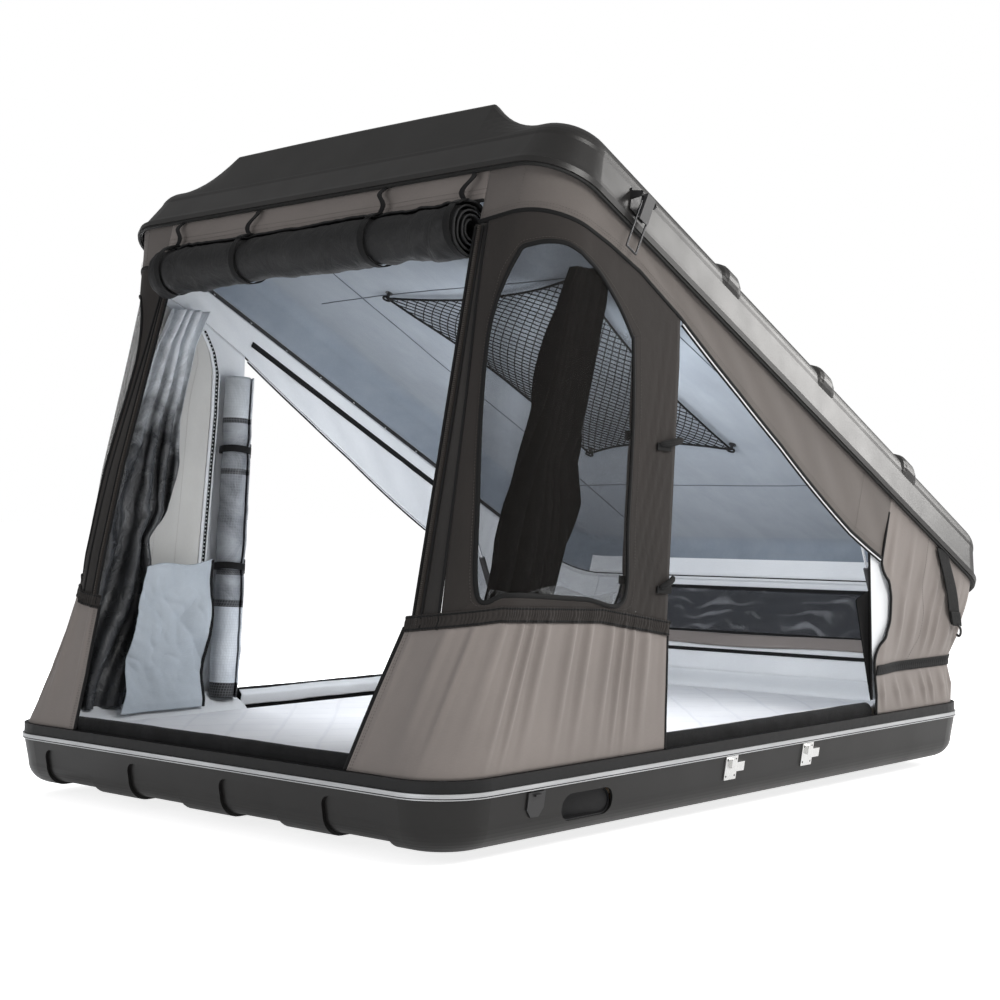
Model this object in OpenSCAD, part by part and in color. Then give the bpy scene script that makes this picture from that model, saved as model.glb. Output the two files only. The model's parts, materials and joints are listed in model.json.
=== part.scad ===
// Roof top tent with a moulded tub, a wedge-opening moulded lid and canvas walls.
// X runs across the tent, -Y is the open front end, +Z is up.
// The origin lies under the middle of the mounting rails. The lid is drawn closed and then raised.

/* [Moulded shells] */
// Outer width of tub and lid at the rim
shell_w = 1600; // [1400:10:1800]
// Outer length of tub and lid at the rim
shell_l = 2144; // [2000:4:2300]
// Radius of the corners seen from above
corner_r = 140; // [125:5:180]
// Thickness of the moulded walls
wall = 6; // [4:0.5:8]
// Height of the tub below the trim strip
base_depth = 114; // [104:2:140]
// How far the tub side leans in from the strip down to the rounded edge
base_taper = 10; // [4:1:16]
// Radius of the rounded lower edge of the tub
bottom_r = 55; // [40:1:62]
// Width of the flutes under the tub's front end
flute_w = 190; // [120:2:220]
// Depth of the flutes
flute_depth = 8; // [4:0.5:10]
// Distance from the tub's corner to the first flute
flute_margin = 46; // [30:2:100]
// Height of the lid above its rim
lid_depth = 150; // [130:2:190]
// Radius of the rounded upper edge of the lid
lid_edge_r = 55; // [40:1:65]
// How far the lid side leans in below its rounded edge
lid_taper = 28; // [20:1:40]
// Height of the bead round the lid rim
bead_h = 14; // [8:1:18]

/* [Rim] */
// Height of the bright trim strip
strip_h = 13; // [8:1:20]
// Thickness of the bright trim strip
strip_t = 4; // [2:0.5:6]
// Height of the black canvas rail
rail_h = 25; // [15:1:40]
// Width of the black canvas rail
rail_w = 18; // [18:1:26]
// Thickness of the gasket under the lid rim
gasket_h = 5.6; // [3:0.2:8]

/* [Lid opening] */
// Angle of the raised lid
lid_angle = 28.1; // [20:0.1:34]
// Height that the rear rim of the lid rises
rear_lift = 284; // [240:2:320]
// Distance that the rear rim of the lid moves back
rear_overhang = 105; // [60:1:140]

/* [Lid top] */
// Height of the cross ribs on the lid
rib_h = 14; // [6:1:20]
// Width of a cross rib at its foot
rib_w = 96; // [60:2:120]
// Distance from the rear rim to the first cross rib
rib_first = 530; // [450:10:600]
// Distance from one cross rib to the next
rib_step = 468; // [400:4:500]
// Height of the front deflector above the lid top
deflector_h = 77; // [40:1:90]
// Width of the front deflector along its upper edge
deflector_w = 924; // [700:4:1100]
// Length of the front deflector
deflector_l = 590; // [400:10:700]

/* [Mounting rails] */
// Height of the mounting rails
foot_h = 28; // [20:1:40]
// Length of the mounting rails
foot_l = 1500; // [1200:10:1700]
// Distance between the two mounting rails
foot_gap = 800; // [600:10:1000]
// Distance between the two roof bolts of a rail
roof_bolt_gap = 900; // [600:10:1100]
// Radius of the roof bolt holes
roof_bolt_r = 4.5; // [3:0.5:6]

/* [Bed] */
// Height of the floor above the tub's bottom
floor_t = 56; // [40:1:60]
// Thickness of the floor board
board_t = 12; // [6:1:18]
// Thickness of the mattress at its edge
mattress_t = 72; // [50:1:80]
// Room between the tub's rim and the mattress on each long side
mattress_gap = 117; // [115:1:190]
// Length of the mattress
mattress_l = 1980; // [1800:10:1990]
// Rise of the mattress crown
mattress_crown = 12; // [4:1:20]
// Height of the padded sills
sill_h = 52; // [40:1:60]
// Width of the padded sills
sill_w = 36; // [28:1:38]

/* [Canvas] */
// Thickness of the canvas walls
canvas_t = 3; // [2:0.5:4]
// Height of the lower corner panels
panel_h = 322; // [250:2:360]
// Depth of the gathers in the lower panels and rear columns
gather = 4; // [2:0.5:5]
// Number of gathers in a lower panel
panel_gathers = 14; // [8:1:16]
// Number of gathers in a rear column
column_gathers = 9; // [6:1:12]
// Distance from the front rim to the front edge of the side door
door_front = 727; // [680:1:760]
// Distance from the front rim to the rear edge of the side door
door_rear = 1642; // [1580:1:1680]
// Distance from the middle to the foot of the front opening's edge
front_half = 493; // [440:1:520]
// Radius of a rolled-up side door
roll_r = 43; // [34:1:44]
// Radius of the rolled-up front door
front_roll_r = 61; // [50:1:63]
// Length of the rolled-up front door
front_roll_l = 1110; // [900:10:1120]
// Thickness of one turn of rolled cloth
turn_t = 9; // [6:0.5:12]

/* [Gas struts] */
// Outer radius of a strut tube
tube_r = 10; // [8:0.5:11]
// Radius of a strut rod
rod_r = 4; // [3:0.5:5]
// Radius of the studs that hold the struts
stud_r = 4; // [3:0.5:5]
// Distance of the strut's foot from the front rim
strut_foot = 1894; // [1860:2:1900]
// Distance of the strut's head from the front rim with the lid closed
strut_head = 1374; // [1350:2:1420]

/* [Latches and fittings] */
// Distance of the latches from the front rim
latch_at = 277; // [240:1:320]
// Width of the latch plate
latch_w = 56; // [52:1:70]
// Length of the latch lever
lever_l = 60; // [45:1:70]
// Length of the wire bail
bail_l = 118; // [80:1:125]
// Radius of the bail wire
wire_r = 2.5; // [2:0.1:3]
// Distance of the first ladder bracket from the front rim
ladder_at = 971; // [900:1:1000]
// Distance between the two ladder brackets of one side
ladder_gap = 325; // [280:1:360]
// Length of the vent scoop
vent_l = 170; // [120:2:190]
// Height of the vent scoop
vent_h = 60; // [40:1:64]

/* [Gear net] */
// Front width of the gear net
net_front_w = 690; // [500:5:760]
// Rear width of the gear net
net_rear_w = 528; // [400:4:600]
// Length of the gear net
net_l = 885; // [700:5:950]
// Distance from the rear rim of the lid to the rear edge of the net
net_at = 670; // [600:5:720]
// Number of gaps across the net
net_across = 11; // [8:1:14]
// Number of gaps along the net
net_along = 16; // [12:1:20]
// Width of a net strand
strand = 4; // [3:0.5:5]

/* [Hidden] */
$fn = 64;

// Small gaps that keep neighbouring pieces apart
seat = 0.4;
seam = 0.6;
lap = 2;

// Levels from the ground up
tub_z = foot_h;
strip_z = tub_z + base_depth;
rail_z = strip_z + strip_h;
rail_top = rail_z + rail_h;
lid_z = rail_top + seat + gasket_h;
lid_top = lid_z + lid_depth;
floor_top = tub_z + wall + floor_t;

// Half sizes of the rim and of its straight stretches
half_w = shell_w / 2;
half_l = shell_l / 2;
mattress_w = shell_w - 2 * mattress_gap;
run_x = half_w - corner_r;
run_y = half_l - corner_r;

// Turning axis of the lid, from how far its rear rim rises and moves back
axis_y = half_l + (rear_overhang * (1 - cos(lid_angle)) + rear_lift * sin(lid_angle)) / (2 - 2 * cos(lid_angle));
axis_z = lid_z - (rear_overhang * sin(lid_angle) - rear_lift * (1 - cos(lid_angle))) / (2 - 2 * cos(lid_angle));
echo(axis_y = axis_y, axis_z = axis_z);

// A point of the closed lid, moved to where it lies with the lid raised
function raised(y, z) = [
    axis_y + (y - axis_y) * cos(lid_angle) + (z - axis_z) * sin(lid_angle),
    axis_z - (y - axis_y) * sin(lid_angle) + (z - axis_z) * cos(lid_angle)
];

module raise_lid() {
    translate([0, axis_y, axis_z])
        rotate([-lid_angle, 0, 0])
            translate([0, -axis_y, -axis_z])
                children();
}

module both_sides() {
    children();
    mirror([1, 0, 0]) children();
}

// Colours
shell_colour = [0.27, 0.26, 0.25];
black = [0.05, 0.05, 0.05];
bright = [0.82, 0.83, 0.84];
canvas_colour = [0.56, 0.52, 0.50];
dark_cloth = [0.24, 0.22, 0.21];
screen_colour = [0.35, 0.32, 0.30];
white_cloth = [0.93, 0.93, 0.94];
felt = [0.49, 0.53, 0.57];
grey_cloth = [0.45, 0.47, 0.49];
steel = [0.70, 0.70, 0.70];

// Plain building shapes

// Rectangle with round corners, measured inwards from the rim
module rim_area(inset) {
    r = corner_r - inset;
    square([2 * run_x, 2 * (half_l - inset)], center = true);
    square([2 * (half_w - inset), 2 * run_y], center = true);
    for (x = [-run_x, run_x])
        for (y = [-run_y, run_y])
            translate([x, y]) circle(r);
}

// Upright band that follows the rim
module rim_band(outer, inner, z, h) {
    translate([0, 0, z])
        linear_extrude(h)
            difference() {
                rim_area(outer);
                rim_area(inner);
            }
}

// Section swept round the rim, with x measured outwards from the corner centres
module rim_sweep(section) {
    for (turn = [0, 180]) {
        rotate(turn) side_run(section, run_x, 2 * run_y);
        rotate(turn + 90) side_run(section, run_y, 2 * run_x);
    }
    for (x = [0, 1])
        for (y = [0, 1])
            mirror([x, 0, 0])
                mirror([0, y, 0])
                    translate([run_x, run_y, 0])
                        rotate_extrude(angle = 90) polygon(section);
}

module side_run(section, out, length) {
    translate([out, length / 2, 0])
        rotate([90, 0, 0])
            linear_extrude(length) polygon(section);
}

// Rectangle with round ends, centred
module slot_area(length, height) {
    square([length - height, height], center = true);
    for (x = [-1, 1])
        translate([x * (length - height) / 2, 0]) circle(d = height);
}

// Rings of points joined into one closed solid
module loft(rings) {
    count = len(rings[0]);
    last = len(rings) - 1;
    points = [for (ring = rings) each ring];
    sides = [for (k = [0 : last - 1]) for (i = [0 : count - 1])
        let (j = (i + 1) % count)
        each [[k * count + i, (k + 1) * count + i, k * count + j],
              [k * count + j, (k + 1) * count + i, (k + 1) * count + j]]];
    bottom = [for (i = [1 : count - 2]) [0, i, i + 1]];
    top = [for (i = [1 : count - 2]) [last * count, last * count + i + 1, last * count + i]];
    polyhedron(points = points, faces = concat(sides, bottom, top), convexity = 8);
}

// Tub

tub_low = corner_r - strip_t - base_taper;
tub_bend = tub_z + bottom_r;

function tub_curve(inner) = [for (a = [0 : 10 : 90])
    [tub_low - bottom_r + (bottom_r - inner) * cos(a), tub_bend - (bottom_r - inner) * sin(a)]];
function backwards(list) = [for (i = [len(list) - 1 : -1 : 0]) list[i]];

tub_section = concat(
    [[corner_r - strip_t, rail_z], [corner_r - strip_t, strip_z]],
    tub_curve(0),
    [[tub_low - bottom_r - lap, tub_z], [tub_low - bottom_r - lap, tub_z + wall]],
    backwards(tub_curve(wall)),
    [[corner_r - strip_t - wall, strip_z], [corner_r - strip_t - wall, rail_z]]
);

// Outer face of the tub's leaning side at a level between the rounded edge and the strip
function tub_side(z) = half_w - strip_t - base_taper * (strip_z - z) / (strip_z - tub_bend);

rail_bolt_r = 3;
rail_bolt_rows = [-0.42, -0.14, 0.14, 0.42];
rail_flange = 20;
rail_wall = 4;
rail_half = 22;

module rail_bolt_places() {
    for (side = [-1, 1])
        for (k = [0 : 3])
            translate([side * foot_gap / 2 + (k % 2 == 0 ? 1 : -1) * (rail_half + rail_flange / 2),
                rail_bolt_rows[k] * foot_l, 0])
                children();
}

vent_y = -half_l + 367 + vent_l / 2;
vent_z = tub_z + 62;

module vent_shape(spare) {
    translate([0, vent_y, vent_z])
        rotate([90, 0, 90])
            linear_extrude(half_w) slot_area(vent_l + spare, vent_h + spare);
}

// Flutes that curl under the front end: a band below the tub's skin, cut to the outline of a flute
flute_run = 110;
flute_top = strip_z - 20;
flute_step = (2 * run_x - flute_w - 2 * flute_margin) / 3;

module flute_band(outer, inner, run) {
    skin = concat(
        [[tub_low - outer + base_taper, strip_z]],
        tub_curve(outer),
        [[tub_low - run, tub_z + outer], [tub_low - run, tub_z + inner]],
        backwards(tub_curve(inner)),
        [[tub_low - inner + base_taper, strip_z]]
    );
    rotate(-90) side_run(skin, run_y, 2 * run_x);
}

module flute_outline(spare) {
    r = flute_w / 8;
    for (k = [-1.5 : 1.5])
        translate([k * flute_step, -run_y, 0])
            rotate([90, 0, 0])
                linear_extrude(2 * corner_r, center = true) {
                    translate([-flute_w / 2 - spare, 0]) square([flute_w + 2 * spare, flute_top - r]);
                    translate([-flute_w / 2 + r, 0]) square([flute_w - 2 * r, flute_top + spare]);
                    for (x = [-1, 1])
                        translate([x * (flute_w / 2 - r), flute_top - r]) circle(r + spare);
                }
}

module base_shell() {
    color(shell_colour)
        difference() {
            union() {
                rim_sweep(tub_section);
                translate([0, 0, tub_z])
                    linear_extrude(wall) rim_area(corner_r - tub_low + bottom_r);
                intersection() {
                    flute_band(wall / 2, flute_depth + wall, flute_run + wall);
                    flute_outline(wall);
                }
            }
            intersection() {
                flute_band(-lap, flute_depth, flute_run);
                flute_outline(0);
            }
            rail_bolt_places() cylinder(r = rail_bolt_r + 0.2, h = tub_z + 2 * wall);
            both_sides()
                intersection() {
                    vent_shape(0);
                    translate([run_x, -half_l, 0]) cube([corner_r, shell_l, lid_z]);
                }
        }
}

module trim_strip() {
    color(bright) rim_band(0, strip_t, strip_z, strip_h);
}

module canvas_rail() {
    color(black) rim_band(strip_t, strip_t + rail_w, rail_z, rail_h);
}

floor_inset = corner_r - tub_low + bottom_r - lap;

module floor_board() {
    color([0.72, 0.62, 0.48])
        translate([0, 0, floor_top - board_t])
            linear_extrude(board_t) rim_area(floor_inset);
}

module floor_battens() {
    batten_w = 60;
    batten_l = shell_w - 2 * floor_inset - 2 * corner_r;
    step = (shell_l - 2 * floor_inset - 2 * corner_r) / 4;
    color([0.75, 0.75, 0.73])
        for (k = [-2 : 2])
            translate([-batten_l / 2, k * step - batten_w / 2, tub_z + wall])
                cube([batten_l, batten_w, floor_t - board_t]);
}

// Rectangle with round corners as points, whose sides draw in between the corners
function pad_ring(w, l, r, draw, z) = [for (q = [0 : 3]) for (a = [0 : 15 : 90])
    let (
        turn = q * 90 + a,
        sx = (q == 0 || q == 3) ? 1 : -1,
        sy = (q < 2) ? 1 : -1
    )
    each [[sx * (w / 2 - r) + r * cos(turn), sy * (l / 2 - r) + r * sin(turn), z],
          if (a == 90) (q % 2 == 0)
            ? [0, sy * (l / 2 - draw), z]
            : [sx * (w / 2 - draw), 0, z]]];

mattress_r = 60;
mattress_z = floor_top + seat;

module mattress() {
    levels = [[-16, 0], [-3, 0.12], [0, 0.5], [-3, 0.88], [-16, 1]];
    edge = [for (k = levels)
        pad_ring(mattress_w + k[0], mattress_l + k[0], mattress_r, 8, mattress_z + k[1] * mattress_t)];
    crown = [for (k = [[90, 0.6], [260, 0.9], [560, 1]])
        pad_ring(mattress_w - k[0], mattress_l - k[0], mattress_r, 4,
            mattress_z + mattress_t + k[1] * mattress_crown)];
    color(white_cloth) loft(concat(edge, crown));
}

// Mounting rails

module mounting_rail() {
    section = [[-rail_half - rail_flange, foot_h], [-rail_half - rail_flange, foot_h - rail_wall],
        [-rail_half, foot_h - rail_wall], [-rail_half, 0], [rail_half, 0], [rail_half, foot_h - rail_wall],
        [rail_half + rail_flange, foot_h - rail_wall], [rail_half + rail_flange, foot_h],
        [rail_half - rail_wall, foot_h], [rail_half - rail_wall, rail_wall],
        [-rail_half + rail_wall, rail_wall], [-rail_half + rail_wall, foot_h]];
    color([0.6, 0.6, 0.62])
        difference() {
            translate([foot_gap / 2, foot_l / 2, 0])
                rotate([90, 0, 0])
                    linear_extrude(foot_l) polygon(section);
            for (y = [-1, 1])
                translate([foot_gap / 2, y * roof_bolt_gap / 2, -1]) cylinder(r = roof_bolt_r, h = foot_h / 2);
            rail_bolt_places() cylinder(r = rail_bolt_r + 0.2, h = foot_h + 1);
        }
}

module mounting_rail_right() {
    mounting_rail();
}

module mounting_rail_left() {
    rotate(180) mounting_rail();
}

module rail_bolts() {
    head_h = 4;
    color(steel)
        rail_bolt_places() {
            translate([0, 0, foot_h - rail_wall - head_h]) cylinder(r = 2 * rail_bolt_r, h = head_h, $fn = 6);
            translate([0, 0, foot_h - rail_wall - lap]) cylinder(r = rail_bolt_r, h = rail_wall + lap + wall - seat);
        }
}

// Fittings on the tub's sides

// Plate that lies on the leaning side, between two levels
module side_plate(y, length, low, high, t) {
    translate([0, y + length / 2, 0])
        rotate([90, 0, 0])
            linear_extrude(length)
                polygon([[tub_side(low) + seat, low], [tub_side(low) + t, low],
                    [tub_side(high) + t, high], [tub_side(high) + seat, high]]);
}

module ladder_brackets() {
    plate_w = 47;
    plate_t = 4;
    low = tub_bend + 1;
    high = strip_z - 1;
    tongue_l = 32;
    tongue_h = 22;
    lip = 7;
    color(bright)
        both_sides()
            for (k = [0, 1])
                difference() {
                    y = -half_l + ladder_at + k * ladder_gap;
                    union() {
                        side_plate(y, plate_w, low, high, plate_t);
                        side_plate(y + plate_w / 2 + tongue_l / 2 - lap, tongue_l, (low + high - tongue_h) / 2,
                            (low + high + tongue_h) / 2, plate_t);
                        side_plate(y, plate_w / 3, (low + high) / 2, high - 8, plate_t + lip);
                    }
                    for (z = [low + 9, high - 9])
                        for (side = [-1, 1])
                            translate([half_w - corner_r, y + side * plate_w * 0.36, z])
                                rotate([0, 90, 0]) cylinder(r = 2.6, h = 2 * corner_r);
                }
}

module latch_keepers() {
    keeper_w = 52;
    keeper_t = 4;
    low = tub_bend + 1;
    high = strip_z - 4;
    lip = half_w + 5 - tub_side(high - 8);
    y = -half_l + latch_at;
    color(black)
        both_sides() {
            intersection() {
                side_plate(y, keeper_w, low, high, keeper_t);
                translate([run_x, y, low])
                    rotate([90, 0, 90])
                        linear_extrude(2 * corner_r)
                            polygon([[-keeper_w / 2, high - low], [-keeper_w / 2, 18], [-12, 0],
                                [12, 0], [keeper_w / 2, 18], [keeper_w / 2, high - low]]);
            }
            side_plate(y, keeper_w * 0.4, high - 9, high - 5, lip);
        }
}

module vent_liners() {
    liner_t = 3;
    deep = 34;
    mouth = tub_side(tub_bend) - 8;
    color(black)
        both_sides()
            difference() {
                intersection() {
                    vent_shape(-2 * seat);
                    translate([mouth - deep, -half_l, 0]) cube([deep, shell_l, lid_z]);
                }
                intersection() {
                    vent_shape(-2 * seat - 2 * liner_t);
                    linear_extrude(lid_z)
                        polygon([[mouth + 1, vent_y - vent_l / 2], [mouth - deep + liner_t, vent_y - vent_l / 2],
                            [mouth - deep + liner_t, vent_y - vent_l / 5], [mouth - liner_t, vent_y + vent_l / 2],
                            [mouth + 1, vent_y + vent_l / 2]]);
                }
            }
}

// Padded sills, with a flat back against the rail and a round top

sill_inset = strip_t + rail_w + seat;
sill_z = rail_top + 32 - sill_h;

module sill_area() {
    square([sill_w, sill_h - sill_w / 2]);
    translate([sill_w / 2, sill_h - sill_w / 2]) circle(d = sill_w);
}

module sill_front() {
    length = 2 * front_half - 30;
    color(black)
        translate([-length / 2, -half_l + sill_inset, sill_z])
            rotate([90, 0, 90])
                linear_extrude(length) sill_area();
}

module sill_side() {
    length = door_rear - door_front - 2 * seam;
    color(black)
        translate([half_w - sill_inset, -half_l + door_front + seam, sill_z])
            rotate([90, 0, 180])
                linear_extrude(length) sill_area();
}

module sill_right() {
    sill_side();
}

module sill_left() {
    mirror([1, 0, 0]) sill_side();
}

// Canvas walls: straight rulings run from the tub's rail up to the lid's rim.
// u is measured along the rim from the start of the front right corner, v from 0 at the rail to 1 at the lid.

canvas_inset = strip_t + 11.5;
canvas_r = corner_r - canvas_inset;
canvas_foot = rail_top + seam;
canvas_head = lid_z + bead_h + 1;
bend = canvas_r * PI / 2;
side_end = bend + 2 * run_y;
rear_start = side_end + bend;
rear_finish = rear_start + 2 * run_x;

// Place and outward direction on the rim
function rim_at(u) =
    u < 0 ? [run_x + u, -half_l + canvas_inset, 0, -1] :
    u < bend ? let (a = u / bend * 90)
        [run_x + canvas_r * sin(a), -run_y - canvas_r * cos(a), sin(a), -cos(a)] :
    u < side_end ? [half_w - canvas_inset, -run_y + u - bend, 1, 0] :
    u < rear_start ? let (a = (u - side_end) / bend * 90)
        [run_x + canvas_r * cos(a), run_y + canvas_r * sin(a), cos(a), sin(a)] :
    u < rear_finish ? [run_x - (u - rear_start), half_l - canvas_inset, 0, 1] :
    let (mate = rim_at(rear_finish + rear_start - u)) [-mate[0], mate[1], -mate[2], mate[3]];

function wall_at(u, v, out = 0) =
    let (
        rim = rim_at(u),
        head = raised(rim[1], canvas_head)
    )
    [rim[0] + rim[2] * out,
     rim[1] + (head[0] - rim[1]) * v + rim[3] * out,
     canvas_foot + (head[1] - canvas_foot) * v];

// Share of a ruling at a height above the rail
function share_at(u, h) = h / (raised(rim_at(u)[1], canvas_head)[1] - canvas_foot);

// Share of a ruling at a depth below the lid's rim
function drop_share(u, d) =
    let (
        y = rim_at(u)[1] - axis_y,
        foot = axis_z + y * sin(lid_angle) + (canvas_foot - axis_z) * cos(lid_angle)
    )
    (lid_z - d - foot) / (canvas_head - foot);

// Place along the rim of a distance from the front rim
function along(distance) = bend + distance - corner_r;

// Cloth through rows of [u, v, out], closed into a loop if asked
module cloth(rows, t = canvas_t, loop = false) {
    m = len(rows[0]);
    n = len(rows);
    face = n * m;
    points = [for (side = [1, -1]) for (row = rows) for (p = row) wall_at(p[0], p[1], p[2] + side * t / 2)];
    spans = loop ? n : n - 1;
    function at(i, j) = (i % n) * m + j;
    skin = [for (i = [0 : spans - 1]) for (j = [0 : m - 2])
        each [[at(i, j), at(i, j + 1), at(i + 1, j + 1)], [at(i, j), at(i + 1, j + 1), at(i + 1, j)]]];
    back = [for (tri = skin) [face + tri[2], face + tri[1], face + tri[0]]];
    edges = [for (i = [0 : spans - 1]) each [
        [at(i, 0), at(i + 1, 0), face + at(i, 0)],
        [at(i + 1, 0), face + at(i + 1, 0), face + at(i, 0)],
        [at(i + 1, m - 1), at(i, m - 1), face + at(i + 1, m - 1)],
        [at(i, m - 1), face + at(i, m - 1), face + at(i + 1, m - 1)]]];
    ends = loop ? [] : [for (j = [0 : m - 2]) each [
        [at(0, j + 1), at(0, j), face + at(0, j + 1)],
        [at(0, j), face + at(0, j), face + at(0, j + 1)],
        [at(n - 1, j), at(n - 1, j + 1), face + at(n - 1, j)],
        [at(n - 1, j + 1), face + at(n - 1, j + 1), face + at(n - 1, j)]]];
    polyhedron(points = points, faces = concat(skin, back, edges, ends), convexity = 10);
}

function mix(a, b, t) = a + (b - a) * t;

// Height of a lower panel along the rim
door_u = along(door_front);
function panel_top(u) = panel_h - lookup(u, [[-72, 24], [150, 0], [467, 16], [door_u - 66, 56]]);
function panel_share(u) = share_at(u, panel_top(u));

// Front edge of a lower panel leans towards the corner
zip_foot = front_half - run_x;
zip_lean = 95;

module lower_panel() {
    columns = panel_gathers * 4;
    rows = [for (i = [0 : columns])
        let (
            t = i / columns,
            foot = mix(zip_foot, door_u, t),
            top = mix(zip_foot + zip_lean, door_u - 66, t),
            fold = gather * cos(360 * panel_gathers * t)
        )
        [for (k = [0, 0.3, 0.7, 1])
            let (u = mix(foot, top, k))
            [u, panel_share(u) * k, fold * [0, 0.5, 1, 0.4][round(k * 3)]]]];
    color(canvas_colour) cloth(rows);
}

module lower_panel_right() {
    lower_panel();
}

module lower_panel_left() {
    mirror([1, 0, 0]) lower_panel();
}

// Edges of the zip post beside the front opening
function post_inner(v) = lookup(v, [[0.23, -53], [0.51, -72], [0.84, -95], [0.90, -99]]);
function post_outer(v) = lookup(v, [[0.24, 23], [0.43, 1], [0.60, -21], [0.76, -46], [0.84, -56], [0.90, -64]]);

post_foot = 0.2445;
post_head = 0.893;

module front_post() {
    rows = [for (side = [0, 1])
        [for (k = [0 : 8])
            let (v = mix(post_foot, post_head, k / 8))
            [side == 0 ? post_inner(v) : post_outer(v) - seam, v, 0]]];
    color(black) cloth(rows);
}

module front_post_right() {
    front_post();
}

module front_post_left() {
    mirror([1, 0, 0]) front_post();
}

// Lower edge of the upper strip, which is also the top of the window panel and of the side door
strip_front = -88;
strip_end = along(door_rear) - 103;
function strip_edge(u) = lookup(u, [[strip_front, 0.900], [71, 0.915], [273, 0.928], [391, 0.930], [562, 0.915],
    [842, 0.867], [1042, 0.827], [1255, 0.767], [1423, 0.712], [strip_end - 64, 0.661], [strip_end, 0.559]]);

module upper_strip() {
    stations = [strip_front, -30, 0, 30, 65, 100, 140, 166, bend, 273, 391, 562, 842, 1042, 1255, 1423,
        strip_end - 64, strip_end];
    color(canvas_colour) cloth([for (u = stations) [[u, strip_edge(u), 0], [u, 1, 0]]]);
}

module upper_strip_right() {
    upper_strip();
}

module upper_strip_left() {
    mirror([1, 0, 0]) upper_strip();
}

// Window opening and the panel round it, as pairs of points
function above_panel(u) = [u, share_at(u, panel_top(u) + seam)];
function below_strip(u) = [u, strip_edge(u) - share_at(u, seam)];
function beside_post(v) = [post_outer(v), v];
window_edge = [[94, 0.285], [57, 0.434], [22, 0.594], [6, 0.70], [10, 0.755], [20, 0.79], [30, 0.815], [40, 0.835],
    [49, 0.85], [70, 0.858], [100, 0.868], [140, 0.8765], [166, 0.877], [bend, 0.876], [262, 0.868], [345, 0.84],
    [400, 0.81], [412, 0.796], [458, 0.663], [503, 0.472], [535, 0.315], [400, 0.305], [210, 0.295], [150, 0.29]];
panel_edge = [above_panel(26), beside_post(0.434), beside_post(0.594), beside_post(0.70), beside_post(0.79),
    below_strip(-60), below_strip(-30), below_strip(0), below_strip(30), below_strip(65), below_strip(100),
    below_strip(140), below_strip(166), below_strip(bend), below_strip(273), below_strip(391), below_strip(562),
    [590, 0.82], [625, 0.663], [668, 0.472], above_panel(door_u - 70), above_panel(467), above_panel(200),
    above_panel(150)];

module window_panel() {
    rows = [for (i = [0 : len(window_edge) - 1])
        [[window_edge[i][0], window_edge[i][1], 0],
         [mix(window_edge[i][0], panel_edge[i][0], 0.5), mix(window_edge[i][1], panel_edge[i][1], 0.5), 0],
         [panel_edge[i][0], panel_edge[i][1], 0]]];
    color(dark_cloth) cloth(rows, loop = true);
}

module window_panel_right() {
    window_panel();
}

module window_panel_left() {
    mirror([1, 0, 0]) window_panel();
}

// Screen that fills the opening, as a fan about its middle
window_middle = [268, 0.58];
screen_t = 1.5;

module window_screen() {
    count = len(window_edge);
    rings = [for (k = [0.998, 0.5]) [for (e = window_edge) mix(window_middle, e, k)]];
    flat = concat(rings[0], rings[1], [window_middle]);
    face = len(flat);
    points = [for (side = [1, -1]) for (q = flat) wall_at(q[0], q[1], side * screen_t / 2)];
    skin = [for (i = [0 : count - 1])
        let (j = (i + 1) % count)
        each [[i, count + i, j], [j, count + i, count + j], [count + i, 2 * count, count + j]]];
    back = [for (tri = skin) [face + tri[2], face + tri[1], face + tri[0]]];
    edges = [for (i = [0 : count - 1])
        let (j = (i + 1) % count)
        each [[i, j, face + i], [j, face + j, face + i]]];
    color(screen_colour) polyhedron(points = points, faces = concat(skin, back, edges), convexity = 6);
}

module window_screen_right() {
    window_screen();
}

module window_screen_left() {
    mirror([1, 0, 0]) window_screen();
}

// Window curtain, bunched, hanging in soft flutes behind the screen from the panel's top
curtain_x = half_w - canvas_inset - canvas_t / 2 - gather - seat;

module window_curtain() {
    flutes = 7;
    points = 42;
    // height above the rail, distance of its middle from the front rim, half width, half depth, reach outwards
    course = [[14, 296, 104, 24, 0], [120, 306, 112, 27, 0], [300, 335, 122, 29, 0], [480, 362, 116, 30, 0],
        [600, 390, 100, 28, 0], [760, 430, 96, 27, 0], [900, 470, 92, 26, 0], [1000, 505, 84, 24, 0.7],
        [1070, 524, 66, 20, 1]];
    color(black)
        loft([for (c = course)
            [for (i = [0 : points - 1])
                let (
                    a = -360 * i / points,
                    swell = 0.88 + 0.12 * cos(flutes * (a - 90))
                )
                [curtain_x + c[4] * gather - c[3] + c[3] * swell * sin(a),
                    -half_l + c[1] + c[2] * swell * cos(a), rail_top + c[0]]]]);
}

module window_curtain_right() {
    window_curtain();
}

module window_curtain_left() {
    mirror([1, 0, 0]) window_curtain();
}

// Cloth rolled into a spiral: one strip of the cloth's thickness, wound from the middle outwards
turn_gap = 0.8;

module spiral_area(r) {
    turns = floor((r - turn_t) / (turn_t + turn_gap));
    pitch = turn_t + turn_gap;
    steps = 18;
    start = r - turns * pitch;
    outer = [for (i = [0 : turns * steps])
        let (a = i / steps * 360, q = start + pitch * i / steps)
        q * [cos(a), sin(a)]];
    inner = [for (i = [turns * steps : -1 : 0])
        let (a = i / steps * 360, q = start + pitch * i / steps - turn_t)
        q * [cos(a), sin(a)]];
    polygon(concat(outer, inner));
}

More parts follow.
